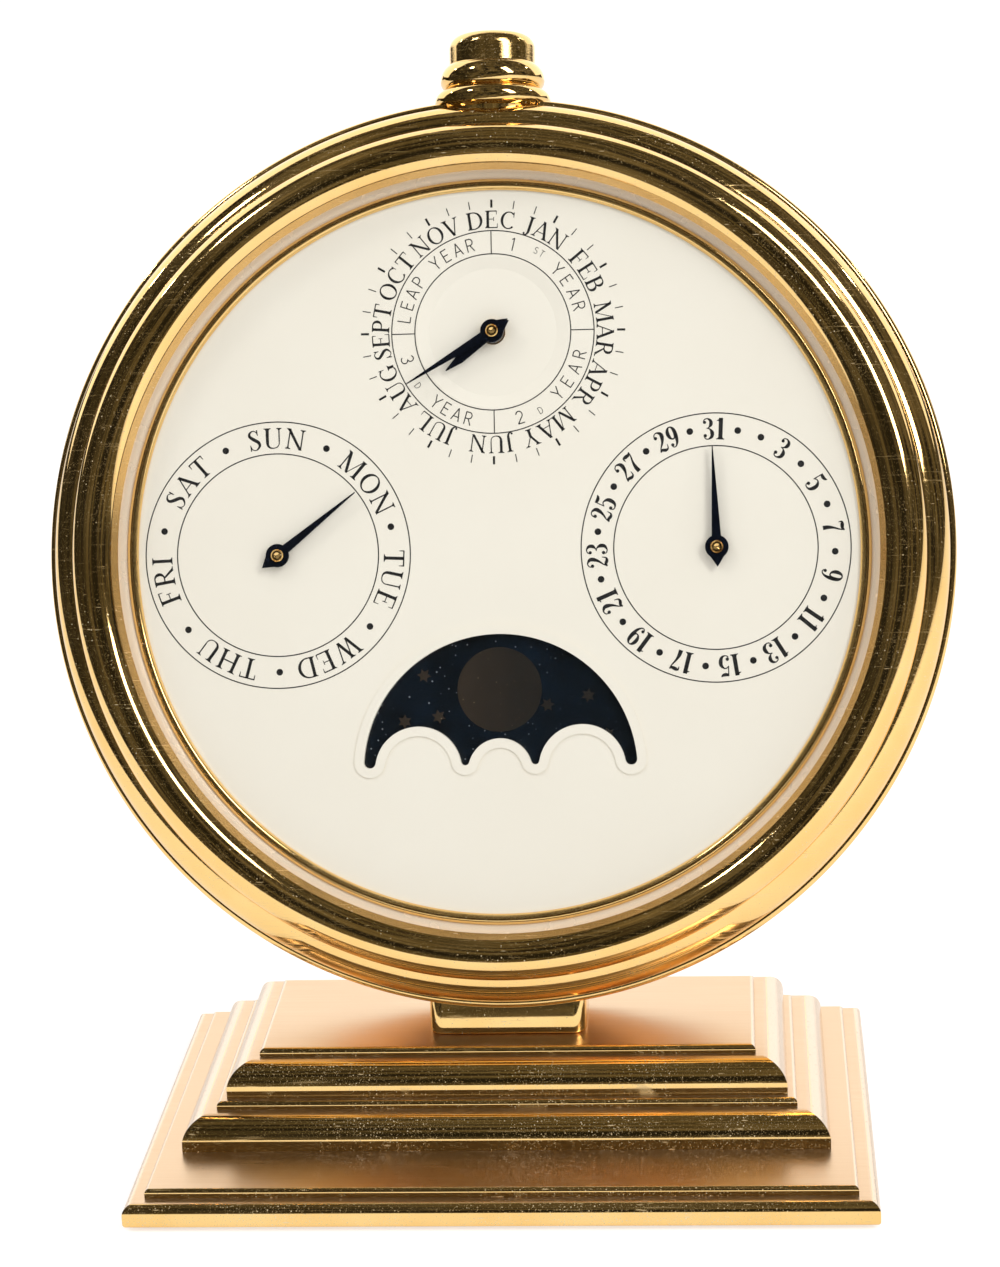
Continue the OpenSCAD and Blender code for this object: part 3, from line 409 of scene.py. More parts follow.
# %% [markdown]
# A mirror shows every flaw of the surface that it lies in, so the polished rings are turned
# afresh on a finer mesh than the solids have. The section is cut in the plane of radius and
# height: a straight cut extrudes the last vertex to the next point, and a roll spins it about
# the centre of an arc. The whole section is then spun about the axis.


# %% Turning
def whole(bm):
    return bm.verts[:] + bm.edges[:] + bm.faces[:]


class Turning:
    def __init__(self, r, z):
        self.bm = bmesh.new()
        self.first = self.last = self.bm.verts.new(Vector((r, 0, z)) * mm)

    def cut(self, *points):
        for r, z in points:
            self.last = bmesh.ops.extrude_vert_indiv(self.bm, verts=[self.last])["verts"][0]
            self.last.co = Vector((r, 0, z)) * mm
        return self

    def roll(self, r, z, angle, steps):
        """Positive angles turn from outwards to upwards, as seen in the section."""
        made = bmesh.ops.spin(self.bm, geom=[self.last], cent=Vector((r, 0, z)) * mm,
                              axis=(0, -1, 0), angle=radians(angle), steps=steps)
        self.last = next(v for v in made["geom_last"] if isinstance(v, bmesh.types.BMVert))
        return self

    def turn(self, steps=480):
        self.bm.edges.new((self.last, self.first))
        bmesh.ops.spin(self.bm, geom=whole(self.bm), cent=(0, 0, 0), axis=(0, 0, 1),
                       angle=2 * pi, steps=steps, use_merge=True)
        bmesh.ops.remove_doubles(self.bm, verts=self.bm.verts[:], dist=1e-6)
        bmesh.ops.recalc_face_normals(self.bm, faces=self.bm.faces[:])
        return self.bm


def polish(bm, sharp=28):
    """Smooth shading, with the edges above an angle left sharp."""
    for face in bm.faces:
        face.smooth = True
    for edge in bm.edges:
        edge.smooth = edge.calc_face_angle(0.0) < radians(sharp)


def put(name, data):
    made = bpy.data.objects.new(name, data)
    bpy.context.scene.collection.objects.link(made)
    return made


def shaped(name, bm, place=Matrix.Identity(4), finish=None):
    """An object in the scene from a mesh that is put in its place."""
    mesh = bpy.data.meshes.new(name)
    bm.to_mesh(mesh)
    bm.free()
    mesh.transform(place)
    if finish:
        mesh.materials.append(finish.material)
    return put(name, mesh)


def piece(name, bm, place, finish, stands_for, body="stand"):
    polish(bm)
    made = shaped(name, bm, place, finish)
    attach(made, body)
    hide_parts(stands_for)
    print(name, len(made.data.polygons), "faces")
    return made


print("lathe ready")

# %% [markdown]
# The bezel has two rolls. The outer one is a quarter round that ends at the groove before
# the drum; the inner one is smaller and taller and laps over the glass. Between glass and
# dial lies the inner ring: a gilt chamfer, a pale satin cove and a bead.

# %% Bezel and inner ring
bezel = Turning(66.5, 1.2).cut((66.5, 9.9), (64.62, 9.9), (64.62, 9.94))
bezel.roll(67.6, 7.35, -148.7, 64)
bezel.roll(70.4, 1.5, -78.1, 40)
bezel.cut((75.0, 1.5), (75.0, 1.2), (74.2, 1.2), (74.2, -0.8), (70.4, -0.8), (70.4, 1.2))
piece("bezel_turned", bezel.turn(), case_place, gilt, "bezel")

bead = Turning(60.6, 5.0).cut((60.55, 5.15)).roll(61.5, 5.15, -180, 24).cut((62.45, 5.0))
chamfer = Turning(63.72, 7.1).cut((64.75, 8.1), (66.4, 8.1), (66.4, 5.0), (64.6, 5.0))
piece("inner_ring_bead", bead.turn(), case_place, gilt, "inner_ring")
piece("inner_ring_chamfer", chamfer.turn(), case_place, deep_gilt, "inner_ring")
cove = Turning(62.45, 5.0).cut((62.45, 5.3)).roll(61.16, 7.56, 50.1, 16).cut((64.6, 5.0))
piece("inner_ring_cove", cove.turn(), case_place, pale_satin, "inner_ring")

# %% [markdown]
# The drum is the plain ring behind the bezel, with a shelf and a rear ledge inside. The way
# through for the push rod is cut with a cylinder and a block, as it is in the solid.


# %% Drum
def bored(bm, *cutters):
    """The mesh less its cutters."""
    parts = [shaped("blank", source) for source in (bm, *cutters)]
    for cutter in parts[1:]:
        bore = parts[0].modifiers.new("bore", "BOOLEAN")
        bore.object, bore.solver = cutter, "EXACT"
    done = bmesh.new()
    done.from_object(parts[0], bpy.context.evaluated_depsgraph_get())
    for part in parts:
        bpy.data.objects.remove(part)
    return done


def block(bm, centre, size):
    bmesh.ops.create_cube(bm, size=1, matrix=Matrix.Translation(Vector(centre) * mm)
                          @ Matrix.Diagonal((*(Vector(size) * mm), 1)))


rod_z = -3.8
drum = Turning(76.78, 0.3).roll(75.9, 0.3, 90, 10)
drum.cut((74.3, 1.2), (74.3, -0.8), (66.0, -0.8), (66.0, -3.0), (74.3, -3.0), (74.3, -11.3),
         (70.0, -11.3), (70.0, -13.3), (75.2, -13.3), (75.2, -14.475), (76.2, -14.475))
drum.roll(76.2, -13.9, 90, 8)
rod_hole, hole_r = bmesh.new(), 2.95 * mm
bmesh.ops.create_cone(rod_hole, cap_ends=True, segments=48, radius1=hole_r, radius2=hole_r,
                      depth=8 * mm, matrix=Matrix.Translation(Vector((0, 75, rod_z)) * mm)
                      @ Matrix.Rotation(radians(90), 4, "X"))
shelf_gap = bmesh.new()
block(shelf_gap, (0, 66.85, -1.9), (7.4, 13.7, 4.2))
piece("drum_turned", bored(drum.turn(), rod_hole, shelf_gap), case_place, gilt, "case_drum")

# %% [markdown]
# The pusher's parts turn about their own axis, which is the radius at the top of the case.
# The button is a cap with a rounded shoulder; the collar swells to a bead; the base has the
# same bead over a waist that sits down on drum and bezel.

# %% Pusher
pusher_place = case_place @ Matrix.Translation((0, 0, rod_z * mm)) @ Matrix.Rotation(
    radians(-90), 4, "X")
button = Turning(4.9, 82.6).cut((7.35, 82.6), (7.35, 85.96)).roll(4.95, 85.96, 90, 20)
button.cut((0, 88.36), (0, 87.3), (1.5, 87.3), (1.5, 86.3), (4.9, 86.3))
piece("pusher_button_turned", button.turn(192), pusher_place, turned_gilt, "pusher_button",
      "pusher")
collar = Turning(5.2, 78.9).cut((7.954, 78.9)).roll(6.9, 80.6, 58.2, 16)
collar.roll(5.8, 80.6, 53, 16).cut((7.6, 83.2), (7.42, 83.2), (7.42, 79.2), (5.2, 79.2))
piece("pusher_collar_turned", collar.turn(192), pusher_place, gilt, "pusher_collar")
base = Turning(1.54, 72.1).cut((2.9, 72.1), (2.9, 73.0), (8.3, 73.0), (8.925, 75.26))
base.roll(7.95, 76.95, 150, 24).cut((5.2, 78.9), (5.2, 77.2), (1.54, 77.2))
piece("pusher_base_turned", base.turn(192), pusher_place, gilt, "pusher_base")

# %% [markdown]
# The return spring stands round the push rod inside the button. A small circle of wire is spun
# upwards for five turns, and its two open ends are closed.

# %% Return spring
spring_foot, spring_height, press = 77.2, 9.1, 3.2
coil_r, wire_r, turns, steps = 4.2, 0.35, 5, 160
coil = bmesh.new()
wire_place = Matrix.Translation(Vector((coil_r, 0, spring_foot + wire_r)) * mm)
bmesh.ops.create_circle(coil, segments=10, radius=wire_r * mm,
                        matrix=wire_place @ Matrix.Rotation(radians(90), 4, "X"))
bmesh.ops.spin(coil, geom=whole(coil), cent=(0, 0, 0), axis=(0, 0, 1),
               dvec=(0, 0, (spring_height - 2 * wire_r) / steps * mm),
               angle=radians(turns * 360), steps=steps)
bmesh.ops.holes_fill(coil, edges=[e for e in coil.edges if e.is_boundary])
bmesh.ops.recalc_face_normals(coil, faces=coil.faces[:])
spring = piece("pusher_spring_coil", coil, pusher_place, steel, "pusher_spring")
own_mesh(spring)

# %% [markdown]
# The neck block leans with the case, but its lowest 3.6 mm stand nearly upright, and mirror the
# table as a bright band. A box is rounded at its upright edges and round its foot, cut through
# at the bend, sheared above it to the lean, and cut off inside the drum's wall.

# %% Neck
neck = bmesh.new()
block(neck, (0, 0.67, 6.0), (26.6, 13.22, 12))
for rounding, segments, chosen in (
        (2.2, 8, lambda e: abs(e.verts[0].co.z - e.verts[1].co.z) > 0.001),
        (0.6, 5, lambda e: all(v.co.z < 1e-6 for v in e.verts))):
    bmesh.ops.bevel(neck, geom=[e for e in neck.edges if chosen(e)], offset=rounding * mm,
                    offset_type="OFFSET", segments=segments, profile=0.5, affect="EDGES",
                    material=-1)
bend_height, lean_above, lean_below, plinth_top = 3.6 * mm, 0.3103, 0.108, 19.0 * mm
bmesh.ops.bisect_plane(neck, geom=whole(neck), plane_co=(0, 0, bend_height), plane_no=(0, 0, 1))
for v in neck.verts:
    v.co.y += lean_above * max(v.co.z, bend_height) - lean_below * max(bend_height - v.co.z, 0)
    v.co.z += plinth_top
up = case_place.to_3x3() @ Vector((0, 1, 0))
drum_wall = case_place @ Vector((0, -0.0752, 0))
cut = bmesh.ops.bisect_plane(neck, geom=whole(neck), plane_co=drum_wall, plane_no=up,
                             clear_outer=True)["geom_cut"]
bmesh.ops.holes_fill(neck, edges=[e for e in cut if isinstance(e, bmesh.types.BMEdge)])
piece("neck_rounded", neck, Matrix.Identity(4), gilt, "neck_block")

# %% [markdown]
# The dial's words are set in a roman with thick stems and hairlines. A letter of that kind is
# what a broad nib leaves, so each stroke here is a nib, an edge that is extruded from point
# to point while its width changes. Height 1 is the height of a capital. A sheet is drawn flat
# in mm, laid on the dial's face, and given the thickness of a film of ink.

# %% The nib and the sheet
print_height = dial_top + 0.004


class Sheet:
    def __init__(self):
        self.bm = bmesh.new()

    def at(self, x, y, size, up=0.0):
        """Origin, size and upward direction, clockwise from the top, of what follows."""
        a = radians(up)
        self.place = Matrix(((cos(a) * size, sin(a) * size, x),
                             (-sin(a) * size, cos(a) * size, y), (0, 0, 1)))

    def point(self, x, y):
        p = self.place @ Vector((x, y, 1))
        return Vector((p.x, p.y, 0)) * mm

    def across(self, path, i, level):
        """Both ends of the nib at point i of the path."""
        x, y, width = path[i]
        turn = Vector((1, 0))
        if not level:
            before, after = path[max(i - 1, 0)], path[min(i + 1, len(path) - 1)]
            if path[0][:2] == path[-1][:2] and i in (0, len(path) - 1):
                before, after = path[-2], path[1]
            turn = Vector((after[1] - before[1], before[0] - after[0])).normalized()
        turn *= width / 2
        return self.point(x - turn.x, y - turn.y), self.point(x + turn.x, y + turn.y)

    def nib(self, path, level=False):
        left, right = (self.bm.verts.new(p) for p in self.across(path, 0, level))
        edge = self.bm.edges.new((left, right))
        for i in range(1, len(path)):
            made = bmesh.ops.extrude_edge_only(self.bm, edges=[edge])["geom"]
            fresh = [v for v in made if isinstance(v, bmesh.types.BMVert)]
            fresh.sort(key=lambda v: (v.co - left.co).length)
            left, right = fresh
            edge = self.bm.edges.get((left, right))
            left.co, right.co = self.across(path, i, level)

    def spot(self, x, y, r, sides=20):
        radius = self.place.to_3x3().col[0].xy.length * r * mm
        bmesh.ops.create_circle(self.bm, cap_ends=True, segments=sides, radius=radius,
                                matrix=Matrix.Translation(self.point(x, y)))

    def lay(self, name, finish=ink, height=print_height, body="stand",
            film=0.02):
        bmesh.ops.remove_doubles(self.bm, verts=self.bm.verts[:], dist=2e-7)
        bmesh.ops.dissolve_degenerate(self.bm, edges=self.bm.edges[:], dist=1e-7)
        self.bm.normal_update()
        bmesh.ops.reverse_faces(self.bm, faces=[f for f in self.bm.faces if f.normal.z < 0])
        made = shaped(name, self.bm, case_place @ Matrix.Translation((0, 0, height * mm)), finish)
        thick = made.modifiers.new("film", "SOLIDIFY")
        thick.thickness, thick.offset = film * mm, 1.0
        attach(made, body)
        print(name, len(made.data.polygons), "faces")


print("print stands", print_height, "mm up")

# %% [markdown]
# A post is straight, upright or leaning, with level ends, and spreads into a serif where it
# has one; a stem is a thick upright post. A bar is a level hairline and a tick the small serif
# at its end. A bend is a smooth curve through a few points, and may end in a ball. An oval is
# the bowl of a round letter, thick at its sides and thin at top and bottom.

# %% Strokes
THICK, THIN = 0.15, 0.062
SERIF = ((0, 2.0), (0.035, 2.0), (0.06, 0.6), (0.12, 0))


def post(x0, x1, width, foot=0.10, head=0.10, y0=0.0, y1=1.0):
    long = y1 - y0
    path = [(rise, spread * foot) for rise, spread in SERIF if foot or not rise]
    path += [(long - rise, spread * head) for rise, spread in SERIF[::-1] if head or not rise]
    return [(x0 + (x1 - x0) * t / long, y0 + t, width + extra) for t, extra in path], True


def stem(x, *rest):
    return post(x, x, THICK, *rest)


def bar(x0, x1, y, width=THIN):
    return [(x0, y, width), (x1, y, width)], False


def tick(x, y0, y1, w0=THIN, w1=0.03):
    return [(x, y0, w0), (x, y1, w1)], True


def bend(*points, steps=5):
    """Catmull-Rom curve through the points; x, y and width are smoothed alike."""
    ends = [Vector(points[0]) * 2 - Vector(points[1]), *map(Vector, points),
            Vector(points[-1]) * 2 - Vector(points[-2])]
    path = []
    for a, b, c, d in zip(ends, ends[1:], ends[2:], ends[3:]):
        for k in range(steps):
            t = k / steps
            path.append(tuple((2 * b + (c - a) * t + (2 * a - 5 * b + 4 * c - d) * t * t
                               + (3 * b - a - 3 * c + d) * t * t * t) / 2))
    return path + [tuple(points[-1])], False


def oval(x, y, rx, ry, start=90, end=-270, thick=0.15, thin=THIN, steps=32):
    path = []
    for k in range(steps + 1):
        a = radians(start + (end - start) * k / steps)
        path.append((x + rx * cos(a), y + ry * sin(a), thin + (thick - thin) * cos(a) ** 2))
    return path, False


def ball(x, y, r):
    return (x, y, r), None


print("a stem has", len(stem(0)[0]), "points")

# %% [markdown]
# The alphabets hold only the signs that the calendar needs: for each its advance and its
# strokes. The roman capitals spell days and months. What several letters share, such as the
# arm of E and F, is drawn once.

# %% Roman capitals
ARM = bar(0.2, 0.7, 0.975), tick(0.7, 0.99, 0.77, 0.05, 0.025)
FLAG = [(0.12, 1, 0.22), (0.15, 0.965, 0.21), (0.2, 0.9, 0.165)]
ROMAN = {
    "A": (0.98, [post(0.11, 0.47, THIN, 0.1, 0), post(0.82, 0.45, 0.155, 0.09, 0),
        bar(0.25, 0.68, 0.33, 0.045)]),
    "B": (0.88, [stem(0.2, 0.08, 0.08), bar(0.2, 0.43, 0.975), bar(0.2, 0.45, 0.52),
        bar(0.2, 0.45, 0.025), oval(0.42, 0.7475, 0.2, 0.2275, 90, -90, 0.14),
        oval(0.44, 0.2725, 0.25, 0.2475, 90, -90, 0.15)]),
    "C": (0.95, [oval(0.52, 0.5, 0.385, 0.475, 48, 314), tick(0.79, 0.99, 0.68, 0.05, 0.03)]),
    "D": (1.02, [stem(0.2, 0.08, 0.08), bar(0.2, 0.44, 0.975), bar(0.2, 0.44, 0.025),
        oval(0.42, 0.5, 0.44, 0.475, 90, -90)]),
    "E": (0.86, [stem(0.2, 0.08, 0.08), *ARM, bar(0.2, 0.54, 0.515, 0.045),
        tick(0.54, 0.63, 0.4, 0.035, 0.035), bar(0.2, 0.74, 0.025),
        tick(0.75, 0.01, 0.27, 0.05, 0.025)]),
    "F": (0.82, [stem(0.2, 0.1, 0.08), *ARM, bar(0.2, 0.54, 0.5, 0.045),
        tick(0.54, 0.62, 0.38, 0.035, 0.035)]),
    "G": (1.04, [oval(0.52, 0.5, 0.385, 0.475, 48, 300), tick(0.79, 0.99, 0.68, 0.05, 0.03),
        stem(0.8, 0, 0.09, 0.07, 0.44)]),
    "H": (1.06, [stem(0.21), stem(0.85), bar(0.21, 0.85, 0.5)]),
    "I": (0.46, [stem(0.23)]),
    "J": (0.56, [stem(0.33, 0, 0.1, 0.2), bend((0.33, 0.22, THICK), (0.325, 0.08, 0.125),
        (0.27, -0.05, 0.09), (0.17, -0.1, 0.05), (0.09, -0.07, 0.04)), ball(0.11, -0.03, 0.06)]),
    "L": (0.84, [stem(0.2, 0.08, 0.1), bar(0.2, 0.74, 0.025),
        tick(0.75, 0.01, 0.29, 0.05, 0.025)]),
    "M": (1.24, [post(0.18, 0.18, THIN, 0.1, 0, 0, 0.96), (FLAG + [(0.58, 0.02, 0.14)], True),
        ([(0.575, 0, 0.04), (0.98, 0.985, 0.05)], True), stem(1.02, 0.09, 0.05)]),
    "N": (1.04, [post(0.2, 0.2, THIN, 0.1, 0, 0, 0.96), (FLAG + [(0.83, 0, 0.15)], True),
        post(0.84, 0.84, THIN, 0, 0.1, 0.02)]),
    "O": (1.04, [oval(0.52, 0.5, 0.385, 0.475)]),
    "P": (0.82, [stem(0.2, 0.1, 0.08), bar(0.2, 0.43, 0.975), bar(0.2, 0.43, 0.47),
        oval(0.42, 0.7225, 0.235, 0.2525, 90, -90)]),
    "R": (0.96, [stem(0.2, 0.1, 0.08), bar(0.2, 0.43, 0.975), bar(0.2, 0.44, 0.5),
        oval(0.42, 0.7375, 0.225, 0.2375, 90, -90), ([(0.43, 0.51, 0.1), (0.76, 0.07, 0.15),
        (0.82, 0.03, 0.23), (0.84, 0, 0.25)], True)]),
    "S": (0.74, [bend((0.55, 0.74, 0.04), (0.51, 0.88, 0.045), (0.36, 0.975, 0.05),
        (0.185, 0.89, 0.1), (0.165, 0.73, 0.14), (0.34, 0.545, 0.165), (0.52, 0.39, 0.155),
        (0.565, 0.2, 0.12), (0.375, 0.025, 0.05), (0.19, 0.09, 0.045), (0.12, 0.28, 0.04)),
        tick(0.55, 0.99, 0.71), tick(0.12, 0.01, 0.31)]),
    "T": (0.9, [stem(0.45, 0.11, 0, 0, 0.98), bar(0.07, 0.83, 0.975), tick(0.085, 0.99, 0.75),
        tick(0.815, 0.99, 0.75)]),
    "U": (1.02, [stem(0.21, 0, 0.1, 0.34), bend((0.21, 0.36, THICK), (0.225, 0.19, 0.125),
        (0.32, 0.06, 0.085), (0.5, 0.02, 0.05), (0.68, 0.07, 0.05), (0.775, 0.2, 0.05),
        (0.79, 0.36, 0.05)), post(0.79, 0.79, THIN, 0, 0.1, 0.34)]),
    "V": (0.98, [post(0.51, 0.15, 0.15, 0, 0.09), post(0.51, 0.84, THIN, 0, 0.1)]),
    "W": (1.36, [post(0.42, 0.14, 0.145, 0, 0.09), post(0.42, 0.68, THIN, 0, 0),
        post(0.88, 0.61, 0.145, 0, 0.08), post(0.88, 1.19, THIN, 0, 0.1)]),
    "Y": (0.98, [stem(0.49, 0.11, 0, 0, 0.46), post(0.49, 0.16, 0.14, 0, 0.09, 0.42),
        post(0.49, 0.83, THIN, 0, 0.1, 0.42)]),
}
print(len(ROMAN), "capitals")

# %% [markdown]
# The dates have bold narrow figures with ball ends. Only odd days from the third on are
# written, so six signs are enough.

# %% Bold figures
FIGURES = {
    "1": (0.5, [post(0.27, 0.27, 0.19, 0.09, 0), bend((0.08, 0.87, 0.03), (0.17, 0.89, 0.07),
        (0.24, 0.96, 0.09))]),
    "2": (0.6, [ball(0.14, 0.76, 0.08), bend((0.095, 0.79, 0.05), (0.14, 0.92, 0.05),
        (0.28, 0.975, 0.06), (0.43, 0.86, 0.15), (0.44, 0.7, 0.18), (0.34, 0.46, 0.11),
        (0.15, 0.22, 0.05), (0.08, 0.07, 0.045)), bend((0.07, 0.07, 0.06), (0.18, 0.13, 0.13),
        (0.33, 0.065, 0.14), (0.46, 0.1, 0.07), (0.51, 0.28, 0.03))]),
    "3": (0.6, [ball(0.14, 0.81, 0.075), bend((0.09, 0.84, 0.04), (0.15, 0.94, 0.05),
        (0.28, 0.975, 0.06), (0.42, 0.87, 0.14), (0.43, 0.7, 0.16), (0.32, 0.56, 0.05),
        (0.22, 0.53, 0.04)), bend((0.22, 0.53, 0.04), (0.36, 0.49, 0.06), (0.46, 0.33, 0.17),
        (0.44, 0.14, 0.15), (0.28, 0.025, 0.06), (0.14, 0.06, 0.05), (0.09, 0.18, 0.04)),
        ball(0.14, 0.19, 0.08)]),
    "5": (0.6, [bend((0.13, 0.92, 0.12), (0.27, 0.9, 0.16), (0.39, 0.93, 0.12), (0.46, 1, 0.03)),
        post(0.105, 0.125, 0.045, 0, 0, 0.5, 0.98), bend((0.105, 0.51, 0.04), (0.18, 0.59, 0.05),
        (0.29, 0.61, 0.06), (0.43, 0.48, 0.15), (0.455, 0.3, 0.18), (0.4, 0.11, 0.13),
        (0.26, 0.025, 0.06), (0.13, 0.06, 0.05), (0.09, 0.18, 0.04)), ball(0.14, 0.19, 0.08)]),
    "7": (0.56, [bend((0.075, 0.76, 0.03), (0.09, 0.91, 0.09), (0.22, 0.91, 0.17),
        (0.38, 0.9, 0.13), (0.48, 0.985, 0.04)), bend((0.475, 0.97, 0.04), (0.42, 0.78, 0.06),
        (0.3, 0.5, 0.1), (0.24, 0.25, 0.17), (0.235, 0.01, 0.2))]),
    "9": (0.6, [oval(0.28, 0.69, 0.165, 0.285, thick=0.17), bend((0.445, 0.71, 0.17),
        (0.45, 0.5, 0.165), (0.41, 0.24, 0.12), (0.31, 0.06, 0.06), (0.2, 0.025, 0.05),
        (0.12, 0.09, 0.04)), ball(0.16, 0.15, 0.075)]),
}
print(len(FIGURES), "figures")

# %% [markdown]
# The years of the leap year cycle are named in thin capitals, whose nib never changes width.

# %% Thin plain capitals
FINE = 0.08


def line(*points):
    return [(x, y, FINE) for x, y in points], False


def hoop(x, y, rx, ry, start, end):
    return oval(x, y, rx, ry, start, end, FINE, FINE, 16)


UPRIGHT = line((0.12, 0), (0.12, 1))
PLAIN = {
    "A": (0.72, [line((0.06, 0), (0.36, 1)), line((0.36, 1), (0.66, 0)),
        line((0.15, 0.32), (0.57, 0.32))]),
    "D": (0.76, [UPRIGHT, line((0.12, 0.97), (0.32, 0.97)), line((0.12, 0.03), (0.32, 0.03)),
        hoop(0.32, 0.5, 0.33, 0.47, 90, -90)]),
    "E": (0.68, [UPRIGHT, line((0.12, 0.97), (0.58, 0.97)), line((0.12, 0.52), (0.52, 0.52)),
        line((0.12, 0.03), (0.6, 0.03))]),
    "L": (0.62, [UPRIGHT, line((0.12, 0.03), (0.56, 0.03))]),
    "P": (0.68, [UPRIGHT, line((0.12, 0.97), (0.35, 0.97)), line((0.12, 0.46), (0.35, 0.46)),
        hoop(0.35, 0.715, 0.24, 0.255, 90, -90)]),
    "R": (0.72, [UPRIGHT, line((0.12, 0.97), (0.35, 0.97)), line((0.12, 0.48), (0.38, 0.48)),
        hoop(0.35, 0.725, 0.24, 0.245, 90, -90), line((0.36, 0.48), (0.62, 0))]),
    "S": (0.66, [hoop(0.34, 0.74, 0.22, 0.23, 40, 260), hoop(0.34, 0.27, 0.24, 0.24, 95, -150)]),
    "T": (0.66, [line((0.33, 0), (0.33, 1)), line((0.04, 0.97), (0.62, 0.97))]),
    "Y": (0.7, [line((0.35, 0), (0.35, 0.46)), line((0.05, 1), (0.35, 0.44)),
        line((0.65, 1), (0.35, 0.44))]),
    "1": (0.4, [line((0.24, 0), (0.24, 1)), line((0.24, 0.98), (0.08, 0.84))]),
    "2": (0.66, [hoop(0.33, 0.7, 0.24, 0.27, 165, -35), line((0.53, 0.55), (0.09, 0.04)),
        line((0.08, 0.03), (0.6, 0.03))]),
    "3": (0.66, [hoop(0.31, 0.74, 0.22, 0.23, 150, -90), hoop(0.31, 0.27, 0.26, 0.24, 90, -150)]),
}
print(len(PLAIN), "plain signs")

# %% [markdown]
# Words run round their ring, each letter upright on the radius through its middle.


# %% Setting words on a ring
def around(hub, r, angle):
    a = radians(angle)
    return hub[0] + r * sin(a), hub[1] + r * cos(a)


def sign(sheet, alphabet, letter, hub, angle, base, size, inward=False):
    advance, strokes = alphabet[letter]
    x, y = around(hub, base, angle)
    sheet.at(x, y, size, angle + 180 * inward)
    for stroke, level in strokes:
        if level is None:
            sheet.spot(stroke[0] - advance / 2, stroke[1], stroke[2], 14)
        else:
            sheet.nib([(px - advance / 2, py, w) for px, py, w in stroke], level)


def word(sheet, alphabet, text, hub, angle, base, size, spacing=1.0):
    middle = base + size / 2
    widths = [alphabet[c][0] * size * spacing for c in text]
    along = -sum(widths) / 2
    for letter, width in zip(text, widths):
        turn = degrees((along + width / 2) / middle)
        sign(sheet, alphabet, letter, hub, angle + turn, base, size)
        along += width


def ring(sheet, hub, r, width):
    sheet.at(*hub, 1)
    sheet.nib(oval(0, 0, r, r, 0, 360, width, width, 180)[0])


def mark(sheet, hub, angle, r0, r1, width):
    sheet.at(*hub, 1, angle)
    sheet.nib([(0, r0, width), (0, r1, width)], True)


print("words ready")

# %% [markdown]
# The days stand between two fine circles, with a dot after each. Their spacing is a little
# uneven, and the ring is a hair off its hub.

# %% Day ring
days = Sheet()
day_middle = (day_hub[0] - 0.12, day_hub[1] + 0.13)
for r in (22.42, 17.05):
    ring(days, day_middle, r, 0.19)
DAYS = (("SUN", 0.4, 1.055), ("MON", 1.0, 1.09), ("TUE", 0.1, 1.09), ("WED", 0.4, 1.055),
        ("THU", 1.0, 1.09), ("FRI", 1.1, 1.10), ("SAT", 1.2, 1.10))
for k, (name, nudge, spacing) in enumerate(DAYS):
    word(days, ROMAN, name, day_middle, k * 360 / 7 + nudge, 17.95, 3.45, spacing)
    days.at(*around(day_middle, 19.7, (k + 0.5) * 360 / 7), 1)
    days.spot(0, 0, 0.56)
days.lay("day_ring_print")

# %% [markdown]
# The date ring has a figure or a dot for each of the 31 days.

# %% Date ring
dates = Sheet()
date_middle = (date_hub[0] - 0.2, date_hub[1] - 0.08)
for r in (22.42, 16.97):
    ring(dates, date_middle, r, 0.19)
for day in range(1, 32):
    angle = day * 360 / 31 + 0.1
    if day % 2 and day > 1:
        word(dates, FIGURES, str(day), date_middle, angle, 18.0, 3.60)
    else:
        dates.at(*around(date_middle, 19.8, angle), 1)
        dates.spot(0, 0, 0.56)
dates.lay("date_ring_print")

# %% [markdown]
# Each month has three ticks outside its name, the middle one bold. Inside lies the ring of the
# four years; its lower half reads the other way, with its heads towards the centre.

# %% Month ring and leap year ring
months = Sheet()
MONTHS = {"DEC": 0.2, "JAN": 29.3, "FEB": 58.8, "MAR": 90.2, "APR": 119.0, "MAY": 151.0,
          "JUN": 181.5, "JUL": 211.8, "AUG": 240.7, "SEPT": 271.3, "OCT": 300.8, "NOV": 330.0}
for name, angle in MONTHS.items():
    word(months, ROMAN, name, month_hub, angle, 17.42, 2.92, 1.03 if len(name) == 3 else 0.98)
for k in range(36):
    bold = k % 3 == 0
    mark(months, month_hub, k * 10 + 0.4, 20.85, 22.2, 0.36 if bold else 0.16)
year_in, year_out = 13.1, 17.0
for r in (year_out, year_in):
    ring(months, month_hub, r, 0.18)
for quarter in range(4):
    mark(months, month_hub, quarter * 90, year_in, year_out, 0.17)
months.lay("month_ring_print")

years = Sheet()
YEARS = (("1YEAR", (14.0, 47.2, 56.4, 65.7, 74.7), 13.95, 2.2, False),
         ("LEAP", (-80.6, -71.6, -63.2, -54.9), 13.95, 2.2, False),
         ("YEAR", (-38.9, -30.6, -22.2, -13.8), 13.95, 2.2, False),
         ("ST", (29.2, 33.4), 14.85, 1.15, False),
         ("3YEAR", (253.4, 220.1, 212.4, 204.6, 196.8), 16.15, 2.2, True),
         ("2YEAR", (163.4, 134.6, 125.0, 115.3, 105.9), 16.15, 2.2, True),
         ("DD", (235.6, 149.7), 16.0, 1.15, True))
for text, angles, base, size, inward in YEARS:
    for letter, angle in zip(text, angles):
        sign(years, PLAIN, letter, month_hub, angle, base, size, inward)
years.lay("leap_year_ring_print")

# %% [markdown]
# The moon disc turns under its window and carries two moons, half a turn apart, so that one
# rises as the other sets. Between them small six-pointed stars are scattered. A star is a
# circle of twelve points with every second one drawn in.

